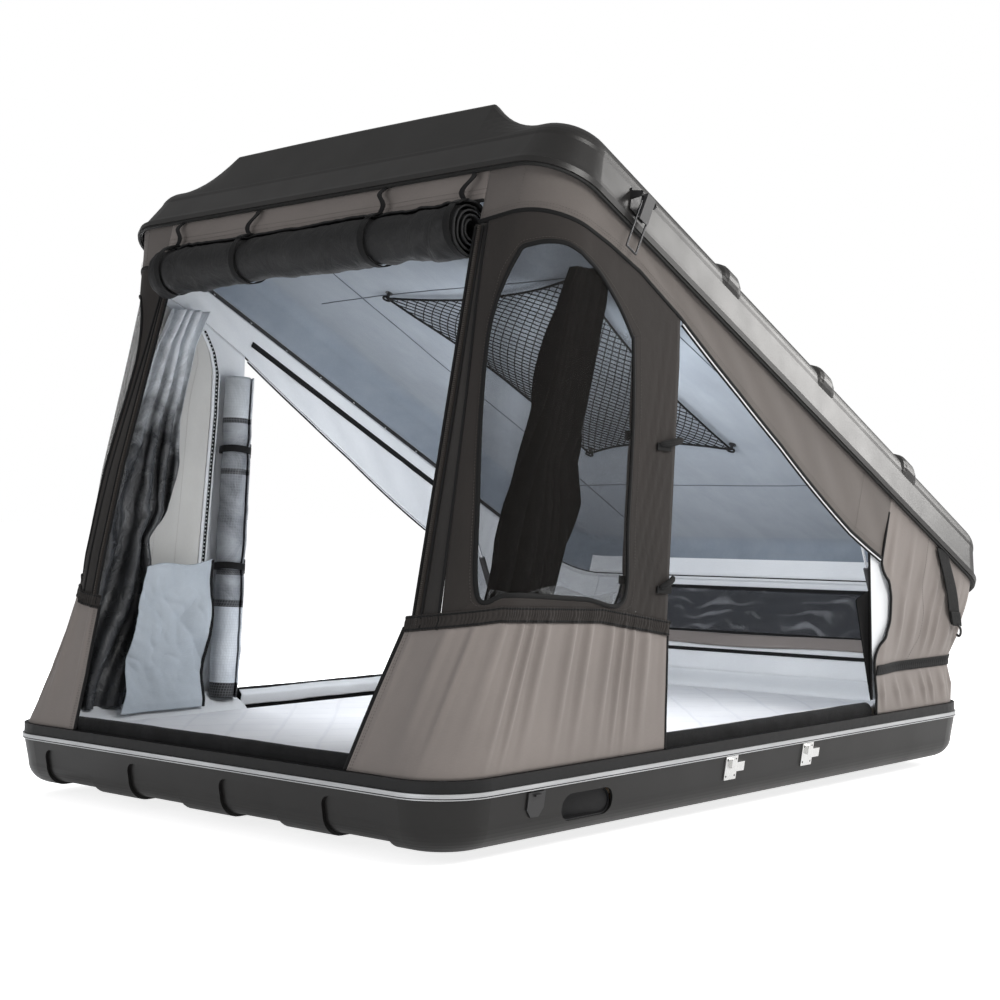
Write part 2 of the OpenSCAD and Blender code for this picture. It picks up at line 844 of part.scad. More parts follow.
// Rolled-up side door, tied against the window panel's rear edge
tie_t = 2;
roll_x = half_w - canvas_inset - canvas_t / 2 - tie_t - 2 * seat - roll_r;
roll_foot = rail_top + 12;
roll_head = raised(-half_l + door_front, lid_z)[1] - 40;
roll_foot_y = -half_l + door_front - roll_r - 17;
roll_head_y = roll_foot_y + 60;
roll_lean = atan2(roll_head_y - roll_foot_y, roll_head - roll_foot);
roll_l = norm([roll_head_y - roll_foot_y, roll_head - roll_foot]);

module on_roll() {
    translate([roll_x, roll_foot_y, roll_foot])
        rotate([-roll_lean, 0, 0])
            children();
}

module door_roll() {
    color(dark_cloth) on_roll() linear_extrude(roll_l) spiral_area(roll_r);
}

module door_roll_right() {
    door_roll();
}

module door_roll_left() {
    mirror([1, 0, 0]) door_roll();
}

module roll_toggles() {
    tie_w = 20;
    toggle_r = 6;
    toggle_l = 44;
    ties = [360, 690];
    color(black)
        both_sides()
            on_roll()
                for (z = ties)
                    translate([0, 0, z]) {
                        rotate_extrude()
                            translate([roll_r + seat, 0]) square([tie_t, tie_w]);
                        translate([0, roll_r + tie_t + toggle_r - 1, (tie_w - toggle_l) / 2])
                            cylinder(r = toggle_r, h = toggle_l);
                    }
}

// Rear column from the side door round the rear corner, gathered above and below a waist band
waist_h = 116;
band_w = 26;
waist_fold = 0.1;
// How far the rear canvas is tucked in at its head, to hang clear of the lid's rim
rear_tuck = 4;
function tuck(u, v) = -rear_tuck * v * rim_at(u)[3];
function column_front(v) = lookup(v, [[0, along(door_rear)], [0.255, along(door_rear) - 55],
    [0.559, strip_end + seam], [1, strip_end + seam]]);

module rear_column() {
    columns = column_gathers * 5;
    rows = [for (i = [0 : columns])
        let (
            t = i / columns,
            fold = gather * cos(360 * column_gathers * t),
            middle = mix(column_front(0.3), rear_start, t),
            low = share_at(middle, waist_h - band_w / 2),
            high = share_at(middle, waist_h + band_w / 2)
        )
        [for (k = [[0, 0], [low / 2, 0.9], [low, waist_fold], [high, waist_fold], [mix(high, 1, 0.3), 1],
                [mix(high, 1, 0.7), 0.6], [1, 0]])
            let (u = mix(column_front(k[0]), rear_start - seam / 2, t))
            [u, k[0], fold * k[1] + tuck(u, k[0])]]];
    color(canvas_colour) cloth(rows);
}

module rear_column_right() {
    rear_column();
}

module rear_column_left() {
    mirror([1, 0, 0]) rear_column();
}

module rear_wall() {
    columns = 6;
    rows = [for (i = [0 : columns])
        let (u = mix(rear_start + seam / 2, rear_finish - seam / 2, i / columns))
        [for (v = [0, 0.5, 1]) [u, v, tuck(u, v)]]];
    color(canvas_colour) cloth(rows);
}

module rear_pocket() {
    pocket_w = 1100;
    pocket_low = 100;
    pocket_high = 285;
    columns = 8;
    middle = (rear_start + rear_finish) / 2;
    rows = [for (i = [0 : columns])
        let (
            u = middle + pocket_w * (i / columns - 0.5),
            sag = 1 - 4 * pow(i / columns - 0.5, 2)
        )
        [for (k = [0, 0.5, 1])
            let (v = share_at(u, mix(pocket_low, pocket_high, k)))
            [u, v, tuck(u, v) - canvas_t - seat - 6 * sag * k]]];
    color(dark_cloth) cloth(rows, 2);
}

module waist_band() {
    corner_steps = 9;
    band_t = 2;
    start = along(door_rear) - 40;
    right = concat([start, (start + side_end) / 2],
        [for (k = [0 : corner_steps]) side_end + bend * k / corner_steps]);
    left = [for (u = backwards(right)) rear_start + rear_finish - u];
    rows = [for (u = concat(right, left))
        [for (h = [waist_h - band_w / 2, waist_h + band_w / 2])
            let (v = share_at(u, h))
            [u, v, tuck(u, v) + canvas_t / 2 + 3 * waist_fold * gather + seat + band_t / 2]]];
    color(black) cloth(rows, band_t);
}

// Lid

lid_low = corner_r - lid_taper;
lid_bend = lid_z + lid_depth - lid_edge_r;
rim_t = 13;
ledge_z = lid_z + bead_h + 10;
ledge_in = 10;

function lid_curve(inner) = [for (a = [0 : 10 : 90])
    [lid_low - lid_edge_r + (lid_edge_r - inner) * cos(a), lid_bend + (lid_edge_r - inner) * sin(a)]];

lid_section = concat(
    [[corner_r, lid_z], [corner_r, lid_z + bead_h], [corner_r - 6, lid_z + bead_h + 4],
        [corner_r - ledge_in, ledge_z + 6]],
    lid_curve(0),
    [[lid_low - lid_edge_r - lap, lid_top], [lid_low - lid_edge_r - lap, lid_top - wall]],
    backwards(lid_curve(wall)),
    [[corner_r - ledge_in - wall, ledge_z + 6], [corner_r - rim_t, ledge_z], [corner_r - rim_t, lid_z]]
);
lid_flat = corner_r - lid_low + lid_edge_r;

// Cross rib that runs over the lid and round both its upper edges, as rings along its arch
module rib() {
    arch = [for (a = [0 : 10 : 90]) [1, a], for (a = [90 : -10 : 0]) [-1, a]];
    loft([for (p = arch)
        let (
            rise = rib_h * (1 - pow(1 - min(p[1] / 60, 1), 2)),
            across = [[-3, -0.5], [0.6 * rise, -0.36], [rise, -0.22], [rise, 0.22], [0.6 * rise, 0.36], [-3, 0.5]]
        )
        [for (q = across)
            let (r = lid_edge_r + q[0])
            [p[0] * (run_x + lid_low - lid_edge_r + r * cos(p[1])), rib_w * q[1], lid_bend + r * sin(p[1])]]]);
}

// Raised front of the lid, or the hollow inside it: sections that grow out of the lid's rounded edge
shoulder = run_x - deflector_w / 2;
crown = 8;
function ease(t) = t * t * (3 - 2 * t);

module deflector(skin) {
    half = deflector_w / 2 - skin;
    reach = run_x - skin;
    face = lid_taper + skin;
    length = deflector_l - 5 * skin;
    inside = skin == 0 ? 1 : wall + 1;
    low = lid_top - inside;
    // share of the full height, falling over the shoulders
    slope = [for (k = [8 : -1 : 0]) [mix(half, reach, k / 8), pow(1 - k / 8, 2.2)]];
    course = concat(slope, [for (k = [0.5, 0, -0.5]) [half * k, 1]], [for (p = backwards(slope)) [-p[0], p[1]]]);
    // distance from the front rim and height: the lid's own edge, and the raised front in its place
    plain = concat(
        [for (p = lid_curve(inside)) [corner_r - p[0], p[1]]],
        [for (k = [1 : 5]) [mix(lid_taper + lid_edge_r, length, k / 5), low]]
    );
    loft([for (c = course)
        let (
            top = lid_top + deflector_h - skin + crown * (1 - pow(c[0] / reach, 2)),
            proud = concat(
                [for (k = [0 : 5]) [face + 3.4 * k, mix(lid_bend, top - 10, k / 5)]],
                [[face + 20, top - 4], [face + 26, top - 1], [face + 38, top], [face + 58, top - 2]],
                [for (k = [1 : 5]) let (t = k / 5)
                    [mix(face + 58, length, t), mix(top - 2, low, mix(t, ease(t), 0.5))]]
            ),
            section = concat(
                [[lid_taper + lid_edge_r + 15, low - 2], [lid_taper + 40, lid_bend]],
                [for (i = [0 : len(plain) - 1]) mix(plain[i], proud[i], c[1])],
                [[length, low - 2]]
            )
        )
        [for (p = section) [c[0], p[0] - half_l, p[1]]]]);
}

// Space inside the lid, a little wider than its walls leave it
module lid_hollow() {
    spare = wall - 0.2;
    section = concat(
        [[0, lid_z - 1], [lid_low - spare, lid_z - 1]],
        lid_curve(spare),
        [[0, lid_top - spare]]
    );
    rim_sweep(section);
    translate([0, 0, lid_z - 1])
        linear_extrude(lid_depth - spare + 1) rim_area(corner_r - lap);
}

module lid_shell() {
    color(shell_colour)
        raise_lid()
            difference() {
                union() {
                    rim_sweep(lid_section);
                    translate([0, 0, lid_top - wall])
                        linear_extrude(wall) rim_area(lid_flat);
                    for (k = [0 : 2])
                        translate([0, half_l - rib_first - k * rib_step, 0]) rib();
                    difference() {
                        deflector(0);
                        lid_hollow();
                    }
                }
                deflector(wall);
            }
}

module lid_gasket() {
    color(black) raise_lid() rim_band(3, 10, lid_z - gasket_h, gasket_h);
}

module rim_batten() {
    color(black) raise_lid() rim_band(rim_t + seat, rim_t + seat + 3, canvas_head + 0.5, 8);
}

module lid_liner() {
    felt_t = 3;
    gap = wall + seat;
    section = concat(
        lid_curve(gap),
        [[lid_low - lid_edge_r - lap, lid_top - gap], [lid_low - lid_edge_r - lap, lid_top - gap - felt_t]],
        backwards(lid_curve(gap + felt_t))
    );
    color(felt)
        raise_lid() {
            rim_sweep(section);
            translate([0, 0, lid_top - gap - felt_t])
                linear_extrude(felt_t) rim_area(lid_flat);
        }
}

// Gear net, stretched below the liner as a trapezium of crossing strands
net_drop = 30;
net_t = 3;
net_z = lid_top - net_drop;
function net_place(across, along_net) =
    let (w = mix(net_rear_w, net_front_w, along_net))
    [w * (across - 0.5), half_l - net_at - net_l * along_net];

module gear_net() {
    margin_x = strand / net_rear_w;
    margin_y = strand / net_l;
    cell_x = (1 - margin_x) / net_across;
    cell_y = (1 - margin_y) / net_along;
    gaps = [for (i = [0 : net_across - 1]) for (j = [0 : net_along - 1])
        let (
            x0 = margin_x + i * cell_x,
            x1 = (i + 1) * cell_x,
            y0 = margin_y + j * cell_y,
            y1 = (j + 1) * cell_y
        )
        [net_place(x0, y0), net_place(x1, y0), net_place(x1, y1), net_place(x0, y1)]];
    frame = [net_place(0, 0), net_place(1, 0), net_place(1, 1), net_place(0, 1)];
    points = concat(frame, [for (gap = gaps) each gap]);
    paths = concat([[0, 1, 2, 3]], [for (k = [1 : len(gaps)]) [4 * k, 4 * k + 1, 4 * k + 2, 4 * k + 3]]);
    color(black)
        raise_lid()
            translate([0, 0, net_z])
                linear_extrude(net_t) polygon(points = points, paths = paths);
}

module net_hooks() {
    hook_r = 5;
    foot_r = 11;
    felt_face = lid_top - wall - seat - 3;
    color(black)
        raise_lid()
            for (x = [0, 1])
                for (y = [0, 1])
                    translate(net_place(x, y)) {
                        translate([0, 0, net_z + net_t + seat])
                            cylinder(r = hook_r, h = felt_face - seat - net_z - net_t - seat);
                        translate([0, 0, felt_face - seat - 3]) cylinder(r = foot_r, h = 3);
                    }
}

// Front valance and rolled front door, hung from the lid's front rim
valance_edge = 0.950;

module front_valance() {
    rows = [for (u = [-2 * run_x - strip_front + seam, -run_x, strip_front - seam])
        [[u, valance_edge, 0], [u, 1, 0]]];
    color(canvas_colour) cloth(rows);
}

// Middle of the roll on the closed lid, below the valance's edge
roll_drop = 68 + front_roll_r;
roll_back = 46;

module on_front_roll(x) {
    raise_lid()
        translate([x, -half_l + roll_back, lid_z - roll_drop])
            rotate([0, 90, 0])
                children();
}

module front_door_roll() {
    color(black) on_front_roll(-front_roll_l / 2) linear_extrude(front_roll_l) spiral_area(front_roll_r);
}

module roll_straps() {
    strap_w = 22;
    strap_t = 2;
    places = [-0.47, -0.2, 0.22, 0.47];
    start = (front_roll_r + seat + strap_t / 2) * [-sin(22), -cos(22)];
    end = [gasket_h + seam - roll_drop, 10 - roll_back];
    side = [end[1] - start[1], start[0] - end[0]] * strap_t / 2 / norm(end - start);
    color(black)
        for (k = places)
            on_front_roll(k * front_roll_l)
                linear_extrude(strap_w) {
                    difference() {
                        circle(front_roll_r + seat + strap_t);
                        circle(front_roll_r + seat);
                    }
                    polygon([start - side, start + side, end + side, end - side]);
                }
}

// Webbing from the lid's rim to the waist of the rear columns
module rear_strap() {
    strap_half = 22;
    top_u = along(door_rear) + 182;
    low_u = top_u + 166;
    out = canvas_t + gather + seat + 1;
    rows = [for (side = [-1, 1])
        [for (k = [0, 0.25, 0.5, 0.75, 1])
            let (u = mix(top_u, low_u, k) + side * strap_half)
            [u, mix(drop_share(u, gasket_h + seat), 0.62, k), mix(9, out, k)]]];
    color(black) cloth(rows, 2);
}

module rear_straps() {
    both_sides() rear_strap();
}

// Draw latches on the lid's sides

// Outer face of the lid's side between ledge and rounded edge
function lid_side(z) = half_w - ledge_in - (lid_taper - ledge_in) * (z - ledge_z - 6) / (lid_bend - ledge_z - 6);

latch_y = -half_l + latch_at;
latch_low = ledge_z + 8;
latch_high = lid_bend - 4;
pivot_x = half_w + 8;
pivot_z = latch_low + 40;
pin_r = 3;
ear_t = 4;
cheek_t = 2;
cheek_y = latch_w / 2 - ear_t - 2 * wire_r - 4;

module latch_plate() {
    plate_t = 4;
    ear_r = 7;
    translate([0, latch_y + latch_w / 2, 0])
        rotate([90, 0, 0])
            linear_extrude(latch_w)
                polygon([[lid_side(latch_low) + seat, latch_low], [lid_side(latch_low) + plate_t, latch_low],
                    [lid_side(latch_high) + plate_t, latch_high], [lid_side(latch_high) + seat, latch_high]]);
    for (side = [-1, 1])
        translate([0, latch_y + side * (latch_w - ear_t) / 2 + ear_t / 2, 0])
            rotate([90, 0, 0])
                linear_extrude(ear_t) {
                    translate([pivot_x, pivot_z]) circle(ear_r);
                    polygon([[lid_side(pivot_z - 12) + 1, pivot_z - 12], [pivot_x, pivot_z - ear_r],
                        [pivot_x, pivot_z + ear_r], [lid_side(pivot_z + 12) + 1, pivot_z + 12]]);
                }
    translate([pivot_x, latch_y + latch_w / 2 - 1, pivot_z])
        rotate([90, 0, 0]) cylinder(r = pin_r, h = latch_w - 2);
}

module latch_plates() {
    color(black) raise_lid() both_sides() latch_plate();
}

bail_drop = 15;
bail_out = 3;

// Channel that hangs from the pin, open towards the lid
module latch_lever() {
    face_x = 8;
    face_t = 3;
    raise_lid()
        translate([pivot_x, latch_y, pivot_z])
            difference() {
                union() {
                    for (side = [-1, 1])
                        translate([0, side * (cheek_y - cheek_t / 2) + cheek_t / 2, 0])
                            rotate([90, 0, 0])
                                linear_extrude(cheek_t) {
                                    circle(6);
                                    polygon([[-6, 0], [0, 6], [face_x + face_t, 6], [face_x + face_t, -lever_l],
                                        [face_x, -lever_l], [1, -lever_l + 12], [-3, -bail_drop - 8]]);
                                }
                    translate([face_x, -cheek_y, -lever_l]) cube([face_t, 2 * cheek_y, lever_l + 6]);
                }
                translate([0, latch_w, 0]) rotate([90, 0, 0]) cylinder(r = pin_r + 0.2, h = 2 * latch_w);
                translate([bail_out, latch_w, -bail_drop])
                    rotate([90, 0, 0]) cylinder(r = wire_r + 0.2, h = 2 * latch_w);
            }
}

module latch_lever_right() {
    color([0.18, 0.18, 0.18]) latch_lever();
}

module latch_lever_left() {
    color([0.18, 0.18, 0.18]) mirror([1, 0, 0]) latch_lever();
}

// Wire loop that hangs from the lever, with its ends turned in through the cheeks
module latch_bail() {
    leg_y = cheek_y + wire_r + 0.6;
    raise_lid()
        translate([pivot_x + bail_out, latch_y, pivot_z - bail_drop]) {
            for (side = [-1, 1]) {
                translate([0, side * leg_y, 0]) sphere(wire_r);
                translate([0, side * leg_y, 0])
                    rotate([90 * side, 0, 0]) cylinder(r = wire_r, h = leg_y - cheek_y + cheek_t + 2);
                translate([0, side * leg_y, -bail_l]) cylinder(r = wire_r, h = bail_l);
                translate([0, side * leg_y, -bail_l]) sphere(wire_r);
            }
            translate([0, leg_y, -bail_l]) rotate([90, 0, 0]) cylinder(r = wire_r, h = 2 * leg_y);
        }
}

module latch_bail_right() {
    color(steel) latch_bail();
}

module latch_bail_left() {
    color(steel) mirror([1, 0, 0]) latch_bail();
}

// Gas struts, in the gap between mattress and sill

strut_x = mattress_w / 2 + 32;
foot_y = -half_l + strut_foot;
foot_z = floor_top + 22;
head_y = -half_l + strut_head;
head_z = lid_z + bead_h + 22;
head_up = raised(head_y, head_z);
strut_open = norm([head_up[0] - foot_y, head_up[1] - foot_z]);
strut_shut = norm([head_y - foot_y, head_z - foot_z]);
strut_lean = atan2(head_up[0] - foot_y, head_up[1] - foot_z);
strut_lean_shut = atan2(head_y - foot_y, head_z - foot_z);
echo(strut_open = strut_open, strut_shut = strut_shut, swing = strut_lean - strut_lean_shut);
echo(foot = [strut_x, foot_y, foot_z], head = head_up);
eye_r = tube_r + 1;
eye_w = 12;
neck = eye_r + 11;
tube_end = strut_shut - 2 * neck;
tube_bore = tube_r - 2.6;
piston_h = 14;
gland_h = 16;
piston_at = tube_end - gland_h - piston_h - 6;

module on_strut() {
    translate([strut_x, foot_y, foot_z])
        rotate([-strut_lean, 0, 0])
            children();
}

module strut_eye() {
    rotate([0, 90, 0])
        difference() {
            cylinder(r = eye_r, h = eye_w, center = true);
            cylinder(r = stud_r + 0.2, h = 2 * eye_w, center = true);
        }
}

module strut_tube() {
    on_strut() {
        strut_eye();
        translate([0, 0, eye_r - 3]) cylinder(r = rod_r + 1, h = neck - eye_r + 3);
        rotate_extrude()
            polygon([[0, neck], [tube_r, neck], [tube_r, tube_end], [rod_r + 0.3, tube_end],
                [rod_r + 0.3, tube_end - gland_h], [tube_bore, tube_end - gland_h], [tube_bore, neck + 4],
                [0, neck + 4]]);
    }
}

module strut_tube_right() {
    color(black) strut_tube();
}

module strut_tube_left() {
    color(black) mirror([1, 0, 0]) strut_tube();
}

module strut_rod() {
    on_strut() {
        translate([0, 0, piston_at]) cylinder(r = tube_bore - 0.3, h = piston_h);
        translate([0, 0, piston_at]) cylinder(r = rod_r, h = strut_open - piston_at - eye_r + 2);
        translate([0, 0, strut_open]) strut_eye();
    }
}

module strut_rod_right() {
    color(bright) strut_rod();
}

module strut_rod_left() {
    color(bright) mirror([1, 0, 0]) strut_rod();
}

module strut_feet() {
    plate = [26, 60, 4];
    upright_t = 5;
    upright_x = strut_x - eye_w / 2 - 9;
    color(steel)
        both_sides() {
            translate([upright_x, foot_y - plate[1] / 2, floor_top + seat]) cube(plate);
            translate([upright_x, foot_y - 14, floor_top + seat]) cube([upright_t, 28, foot_z - floor_top]);
            translate([upright_x, foot_y, foot_z]) rotate([0, 90, 0]) cylinder(r = 14, h = upright_t);
            translate([upright_x, foot_y, foot_z])
                rotate([0, 90, 0]) cylinder(r = stud_r, h = strut_x + eye_w / 2 + 3 - upright_x);
        }
}

module strut_heads() {
    boss_r = 8;
    boss_start = half_w - lid_taper + 6;
    color(steel)
        raise_lid()
            both_sides() {
                translate([strut_x + eye_w / 2 + 6, head_y, head_z])
                    rotate([0, 90, 0]) cylinder(r = boss_r, h = boss_start - strut_x - eye_w / 2 - 6);
                translate([strut_x + eye_w / 2 + seat, head_y, head_z])
                    rotate([0, 90, 0]) cylinder(r = stud_r, h = 10);
            }
}

base_shell();
trim_strip();
canvas_rail();
floor_board();
floor_battens();
mattress();
mounting_rail_right();
mounting_rail_left();
rail_bolts();
ladder_brackets();
latch_keepers();
vent_liners();
sill_front();
sill_right();
sill_left();
strut_feet();
lower_panel_right();
lower_panel_left();
window_panel_right();
window_panel_left();
window_screen_right();
window_screen_left();
front_post_right();
front_post_left();
window_curtain_right();
window_curtain_left();
door_roll_right();
door_roll_left();
roll_toggles();
rear_column_right();
rear_column_left();
rear_wall();
rear_pocket();
waist_band();
lid_shell();
lid_gasket();
lid_liner();
rim_batten();
gear_net();
net_hooks();
latch_plates();
strut_heads();
upper_strip_right();
upper_strip_left();
front_valance();
front_door_roll();
roll_straps();
rear_straps();
latch_lever_right();
latch_lever_left();
latch_bail_right();
latch_bail_left();
strut_tube_right();
strut_tube_left();
strut_rod_right();
strut_rod_left();
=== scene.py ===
import json
import math

import bpy
import numpy as np
from mathutils import Vector
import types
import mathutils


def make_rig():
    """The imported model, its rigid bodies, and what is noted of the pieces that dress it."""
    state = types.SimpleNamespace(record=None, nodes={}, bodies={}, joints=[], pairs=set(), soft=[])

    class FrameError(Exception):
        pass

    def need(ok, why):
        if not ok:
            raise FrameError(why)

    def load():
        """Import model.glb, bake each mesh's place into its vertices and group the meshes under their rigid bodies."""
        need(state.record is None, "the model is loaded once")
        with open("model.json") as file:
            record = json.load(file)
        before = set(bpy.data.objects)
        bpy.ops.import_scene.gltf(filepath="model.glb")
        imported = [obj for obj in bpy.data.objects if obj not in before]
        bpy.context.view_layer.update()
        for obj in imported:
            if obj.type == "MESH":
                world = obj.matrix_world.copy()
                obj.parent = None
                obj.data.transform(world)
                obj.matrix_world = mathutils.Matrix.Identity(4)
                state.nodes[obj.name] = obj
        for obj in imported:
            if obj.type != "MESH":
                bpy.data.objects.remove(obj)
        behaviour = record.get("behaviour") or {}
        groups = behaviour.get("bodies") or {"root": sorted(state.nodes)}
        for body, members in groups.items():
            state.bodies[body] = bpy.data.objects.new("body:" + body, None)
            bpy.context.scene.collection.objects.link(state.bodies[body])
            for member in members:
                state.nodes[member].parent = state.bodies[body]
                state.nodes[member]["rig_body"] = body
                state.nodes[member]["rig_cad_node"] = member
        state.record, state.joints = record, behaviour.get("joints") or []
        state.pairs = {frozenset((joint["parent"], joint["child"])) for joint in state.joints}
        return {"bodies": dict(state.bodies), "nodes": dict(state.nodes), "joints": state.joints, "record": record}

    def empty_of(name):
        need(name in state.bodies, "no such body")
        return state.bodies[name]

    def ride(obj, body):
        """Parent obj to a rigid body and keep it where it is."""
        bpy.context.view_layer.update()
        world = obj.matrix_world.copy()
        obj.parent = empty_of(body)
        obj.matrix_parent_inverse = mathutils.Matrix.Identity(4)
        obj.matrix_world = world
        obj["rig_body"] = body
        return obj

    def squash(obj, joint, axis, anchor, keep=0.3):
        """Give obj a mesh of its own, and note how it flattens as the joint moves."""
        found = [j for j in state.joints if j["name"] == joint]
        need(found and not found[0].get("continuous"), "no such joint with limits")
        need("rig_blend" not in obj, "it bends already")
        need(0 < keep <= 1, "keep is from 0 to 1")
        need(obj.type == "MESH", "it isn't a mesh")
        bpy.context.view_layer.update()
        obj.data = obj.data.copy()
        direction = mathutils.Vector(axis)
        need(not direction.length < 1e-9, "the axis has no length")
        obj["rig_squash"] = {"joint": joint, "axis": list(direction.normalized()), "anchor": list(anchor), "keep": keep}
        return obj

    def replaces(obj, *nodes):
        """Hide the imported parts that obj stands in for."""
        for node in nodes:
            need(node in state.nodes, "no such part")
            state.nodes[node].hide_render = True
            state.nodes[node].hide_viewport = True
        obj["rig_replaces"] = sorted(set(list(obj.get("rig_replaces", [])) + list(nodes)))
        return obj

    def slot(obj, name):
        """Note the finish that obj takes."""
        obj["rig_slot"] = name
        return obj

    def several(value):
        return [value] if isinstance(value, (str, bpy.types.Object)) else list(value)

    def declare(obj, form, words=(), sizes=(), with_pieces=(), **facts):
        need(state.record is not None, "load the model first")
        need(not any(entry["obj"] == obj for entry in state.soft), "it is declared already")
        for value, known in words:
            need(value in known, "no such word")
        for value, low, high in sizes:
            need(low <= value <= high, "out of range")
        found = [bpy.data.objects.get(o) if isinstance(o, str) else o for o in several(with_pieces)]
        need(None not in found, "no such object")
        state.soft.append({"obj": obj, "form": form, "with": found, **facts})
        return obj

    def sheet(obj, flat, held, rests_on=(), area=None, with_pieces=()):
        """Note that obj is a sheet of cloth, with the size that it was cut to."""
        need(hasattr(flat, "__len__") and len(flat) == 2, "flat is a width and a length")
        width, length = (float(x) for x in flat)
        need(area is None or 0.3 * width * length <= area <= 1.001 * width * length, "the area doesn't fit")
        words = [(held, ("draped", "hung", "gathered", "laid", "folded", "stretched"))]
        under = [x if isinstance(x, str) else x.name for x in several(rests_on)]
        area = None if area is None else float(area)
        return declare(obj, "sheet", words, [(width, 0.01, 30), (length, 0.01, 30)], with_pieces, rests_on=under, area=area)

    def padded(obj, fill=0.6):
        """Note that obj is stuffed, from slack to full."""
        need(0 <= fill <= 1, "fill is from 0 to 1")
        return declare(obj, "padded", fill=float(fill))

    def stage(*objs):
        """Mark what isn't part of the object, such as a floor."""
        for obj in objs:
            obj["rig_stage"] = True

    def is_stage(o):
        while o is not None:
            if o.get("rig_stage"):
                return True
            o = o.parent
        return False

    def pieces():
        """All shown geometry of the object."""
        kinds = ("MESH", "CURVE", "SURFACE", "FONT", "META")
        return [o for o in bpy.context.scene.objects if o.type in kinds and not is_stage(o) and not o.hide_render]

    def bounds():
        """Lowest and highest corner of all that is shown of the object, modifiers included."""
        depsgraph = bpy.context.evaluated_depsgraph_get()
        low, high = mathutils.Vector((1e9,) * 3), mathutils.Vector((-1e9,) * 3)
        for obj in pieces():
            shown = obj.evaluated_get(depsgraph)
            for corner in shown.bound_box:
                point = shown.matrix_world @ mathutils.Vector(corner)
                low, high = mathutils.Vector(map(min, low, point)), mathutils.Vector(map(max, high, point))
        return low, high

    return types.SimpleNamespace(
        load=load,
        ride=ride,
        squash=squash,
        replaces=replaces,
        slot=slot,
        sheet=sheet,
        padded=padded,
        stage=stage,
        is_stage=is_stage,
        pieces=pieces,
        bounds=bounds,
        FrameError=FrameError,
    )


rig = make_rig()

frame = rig.load()
cad_low, cad_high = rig.bounds()
cad = frame["nodes"]
scene = bpy.context.scene
MM = 0.001

# Sizes of the tent in millimetres, the same as in the part's source
HALF_W, HALF_L, CORNER_R = 800.0, 1072.0, 140.0
RUN_X, RUN_Y = HALF_W - CORNER_R, HALF_L - CORNER_R
OPEN = math.radians(28.1)
AXIS_Y, AXIS_Z = 1691.921, 118.214
RAIL_TOP, LID_Z, LID_TOP, LID_BEND = 180.0, 186.0, 336.0, 281.0
CANVAS_IN = 15.5
CANVAS_R = CORNER_R - CANVAS_IN
FOOT, HEAD = 180.6, 201.0
BEND = CANVAS_R * math.pi / 2
SIDE_END = BEND + 2 * RUN_Y
REAR_START = SIDE_END + BEND
REAR_FINISH = REAR_START + 2 * RUN_X
PANEL_H, GATHER = 322.0, 4.0
DOOR_FRONT, DOOR_REAR = 727.0, 1642.0
DOOR_U = BEND + DOOR_FRONT - CORNER_R
DOOR_REAR_U = BEND + DOOR_REAR - CORNER_R
STRIP_FRONT, STRIP_END = -88.0, DOOR_REAR_U - 103
ZIP_FOOT, ZIP_LEAN = 493.0 - RUN_X, 95.0
WAIST_H, BAND_W = 116.0, 26.0
REAR_TUCK = 4.0
CURTAIN_X = 778.6
ROLL_X, ROLL_R = 737.2, 43.0
ROLL_FOOT, ROLL_HEAD = (-405.0, 192.0), (-345.0, 1097.0)
FRONT_ROLL_R, FRONT_ROLL_L = 61.0, 1110.0
FRONT_ROLL_AT = (-1026.0, 57.0)
NET = dict(front=690.0, rear=528.0, length=885.0, rear_y=402.0, z=307.5)
PANEL_LEAN = 66.0
SILL_LOW, SILL_W, SILL_H = 160.0, 36.0, 52.0
FRONT_SILL_L, FRONT_SILL_Y = 1116.0, -1013.6
SIDE_SILL_L, SIDE_SILL_X, SIDE_SILL_Y = 913.8, 741.6, (-344.4 + 569.4) / 2
BED_W, BED_L, BED_R, BED_DRAW = 1366.0, 1980.0, 60.0, 7.0
BED_Z, BED_H = 90.4, 72.0
FELT_GAP, FELT_T = 6.4, 3.0

# Canvas, its seams and the two long sides
CLOTH_T = 2.4
STITCH = dict(step=7, size=(4.5, 1.1, 1.1))
SIDES = ((1, "right"), (-1, "left"))
SIDE_NAME = dict(SIDES)


# Places on the canvas walls: u runs along the rim, v from the tub's rail to the lid's rim

def raised(y, z):
    c, s = math.cos(OPEN), math.sin(OPEN)
    return (AXIS_Y + (y - AXIS_Y) * c + (z - AXIS_Z) * s, AXIS_Z - (y - AXIS_Y) * s + (z - AXIS_Z) * c)


def raise_points(points):
    points = np.array(points, float)
    y, z = raised(points[..., 1], points[..., 2])
    return np.stack([points[..., 0], y, z], -1)


def rim_at(u):
    u = np.asarray(u, float)
    far = u >= REAR_FINISH
    w = np.where(far, REAR_FINISH + REAR_START - u, u)
    a = np.clip(w / BEND, 0, 1) * np.pi / 2
    b = np.clip((w - SIDE_END) / BEND, 0, 1) * np.pi / 2
    runs = [w < 0, w < BEND, w < SIDE_END, w < REAR_START]
    x = np.select(runs, [RUN_X + w, RUN_X + CANVAS_R * np.sin(a), HALF_W - CANVAS_IN + 0 * w,
                         RUN_X + CANVAS_R * np.cos(b)], RUN_X - (w - REAR_START))
    y = np.select(runs, [-HALF_L + CANVAS_IN + 0 * w, -RUN_Y - CANVAS_R * np.cos(a), -RUN_Y + w - BEND,
                         RUN_Y + CANVAS_R * np.sin(b)], HALF_L - CANVAS_IN + 0 * w)
    nx = np.select(runs, [0 * w, np.sin(a), 1 + 0 * w, np.cos(b)], 0 * w)
    ny = np.select(runs, [-1 + 0 * w, -np.cos(a), 0 * w, np.sin(b)], 1 + 0 * w)
    side = np.where(far, -1.0, 1.0)
    return x * side, y, nx * side, ny


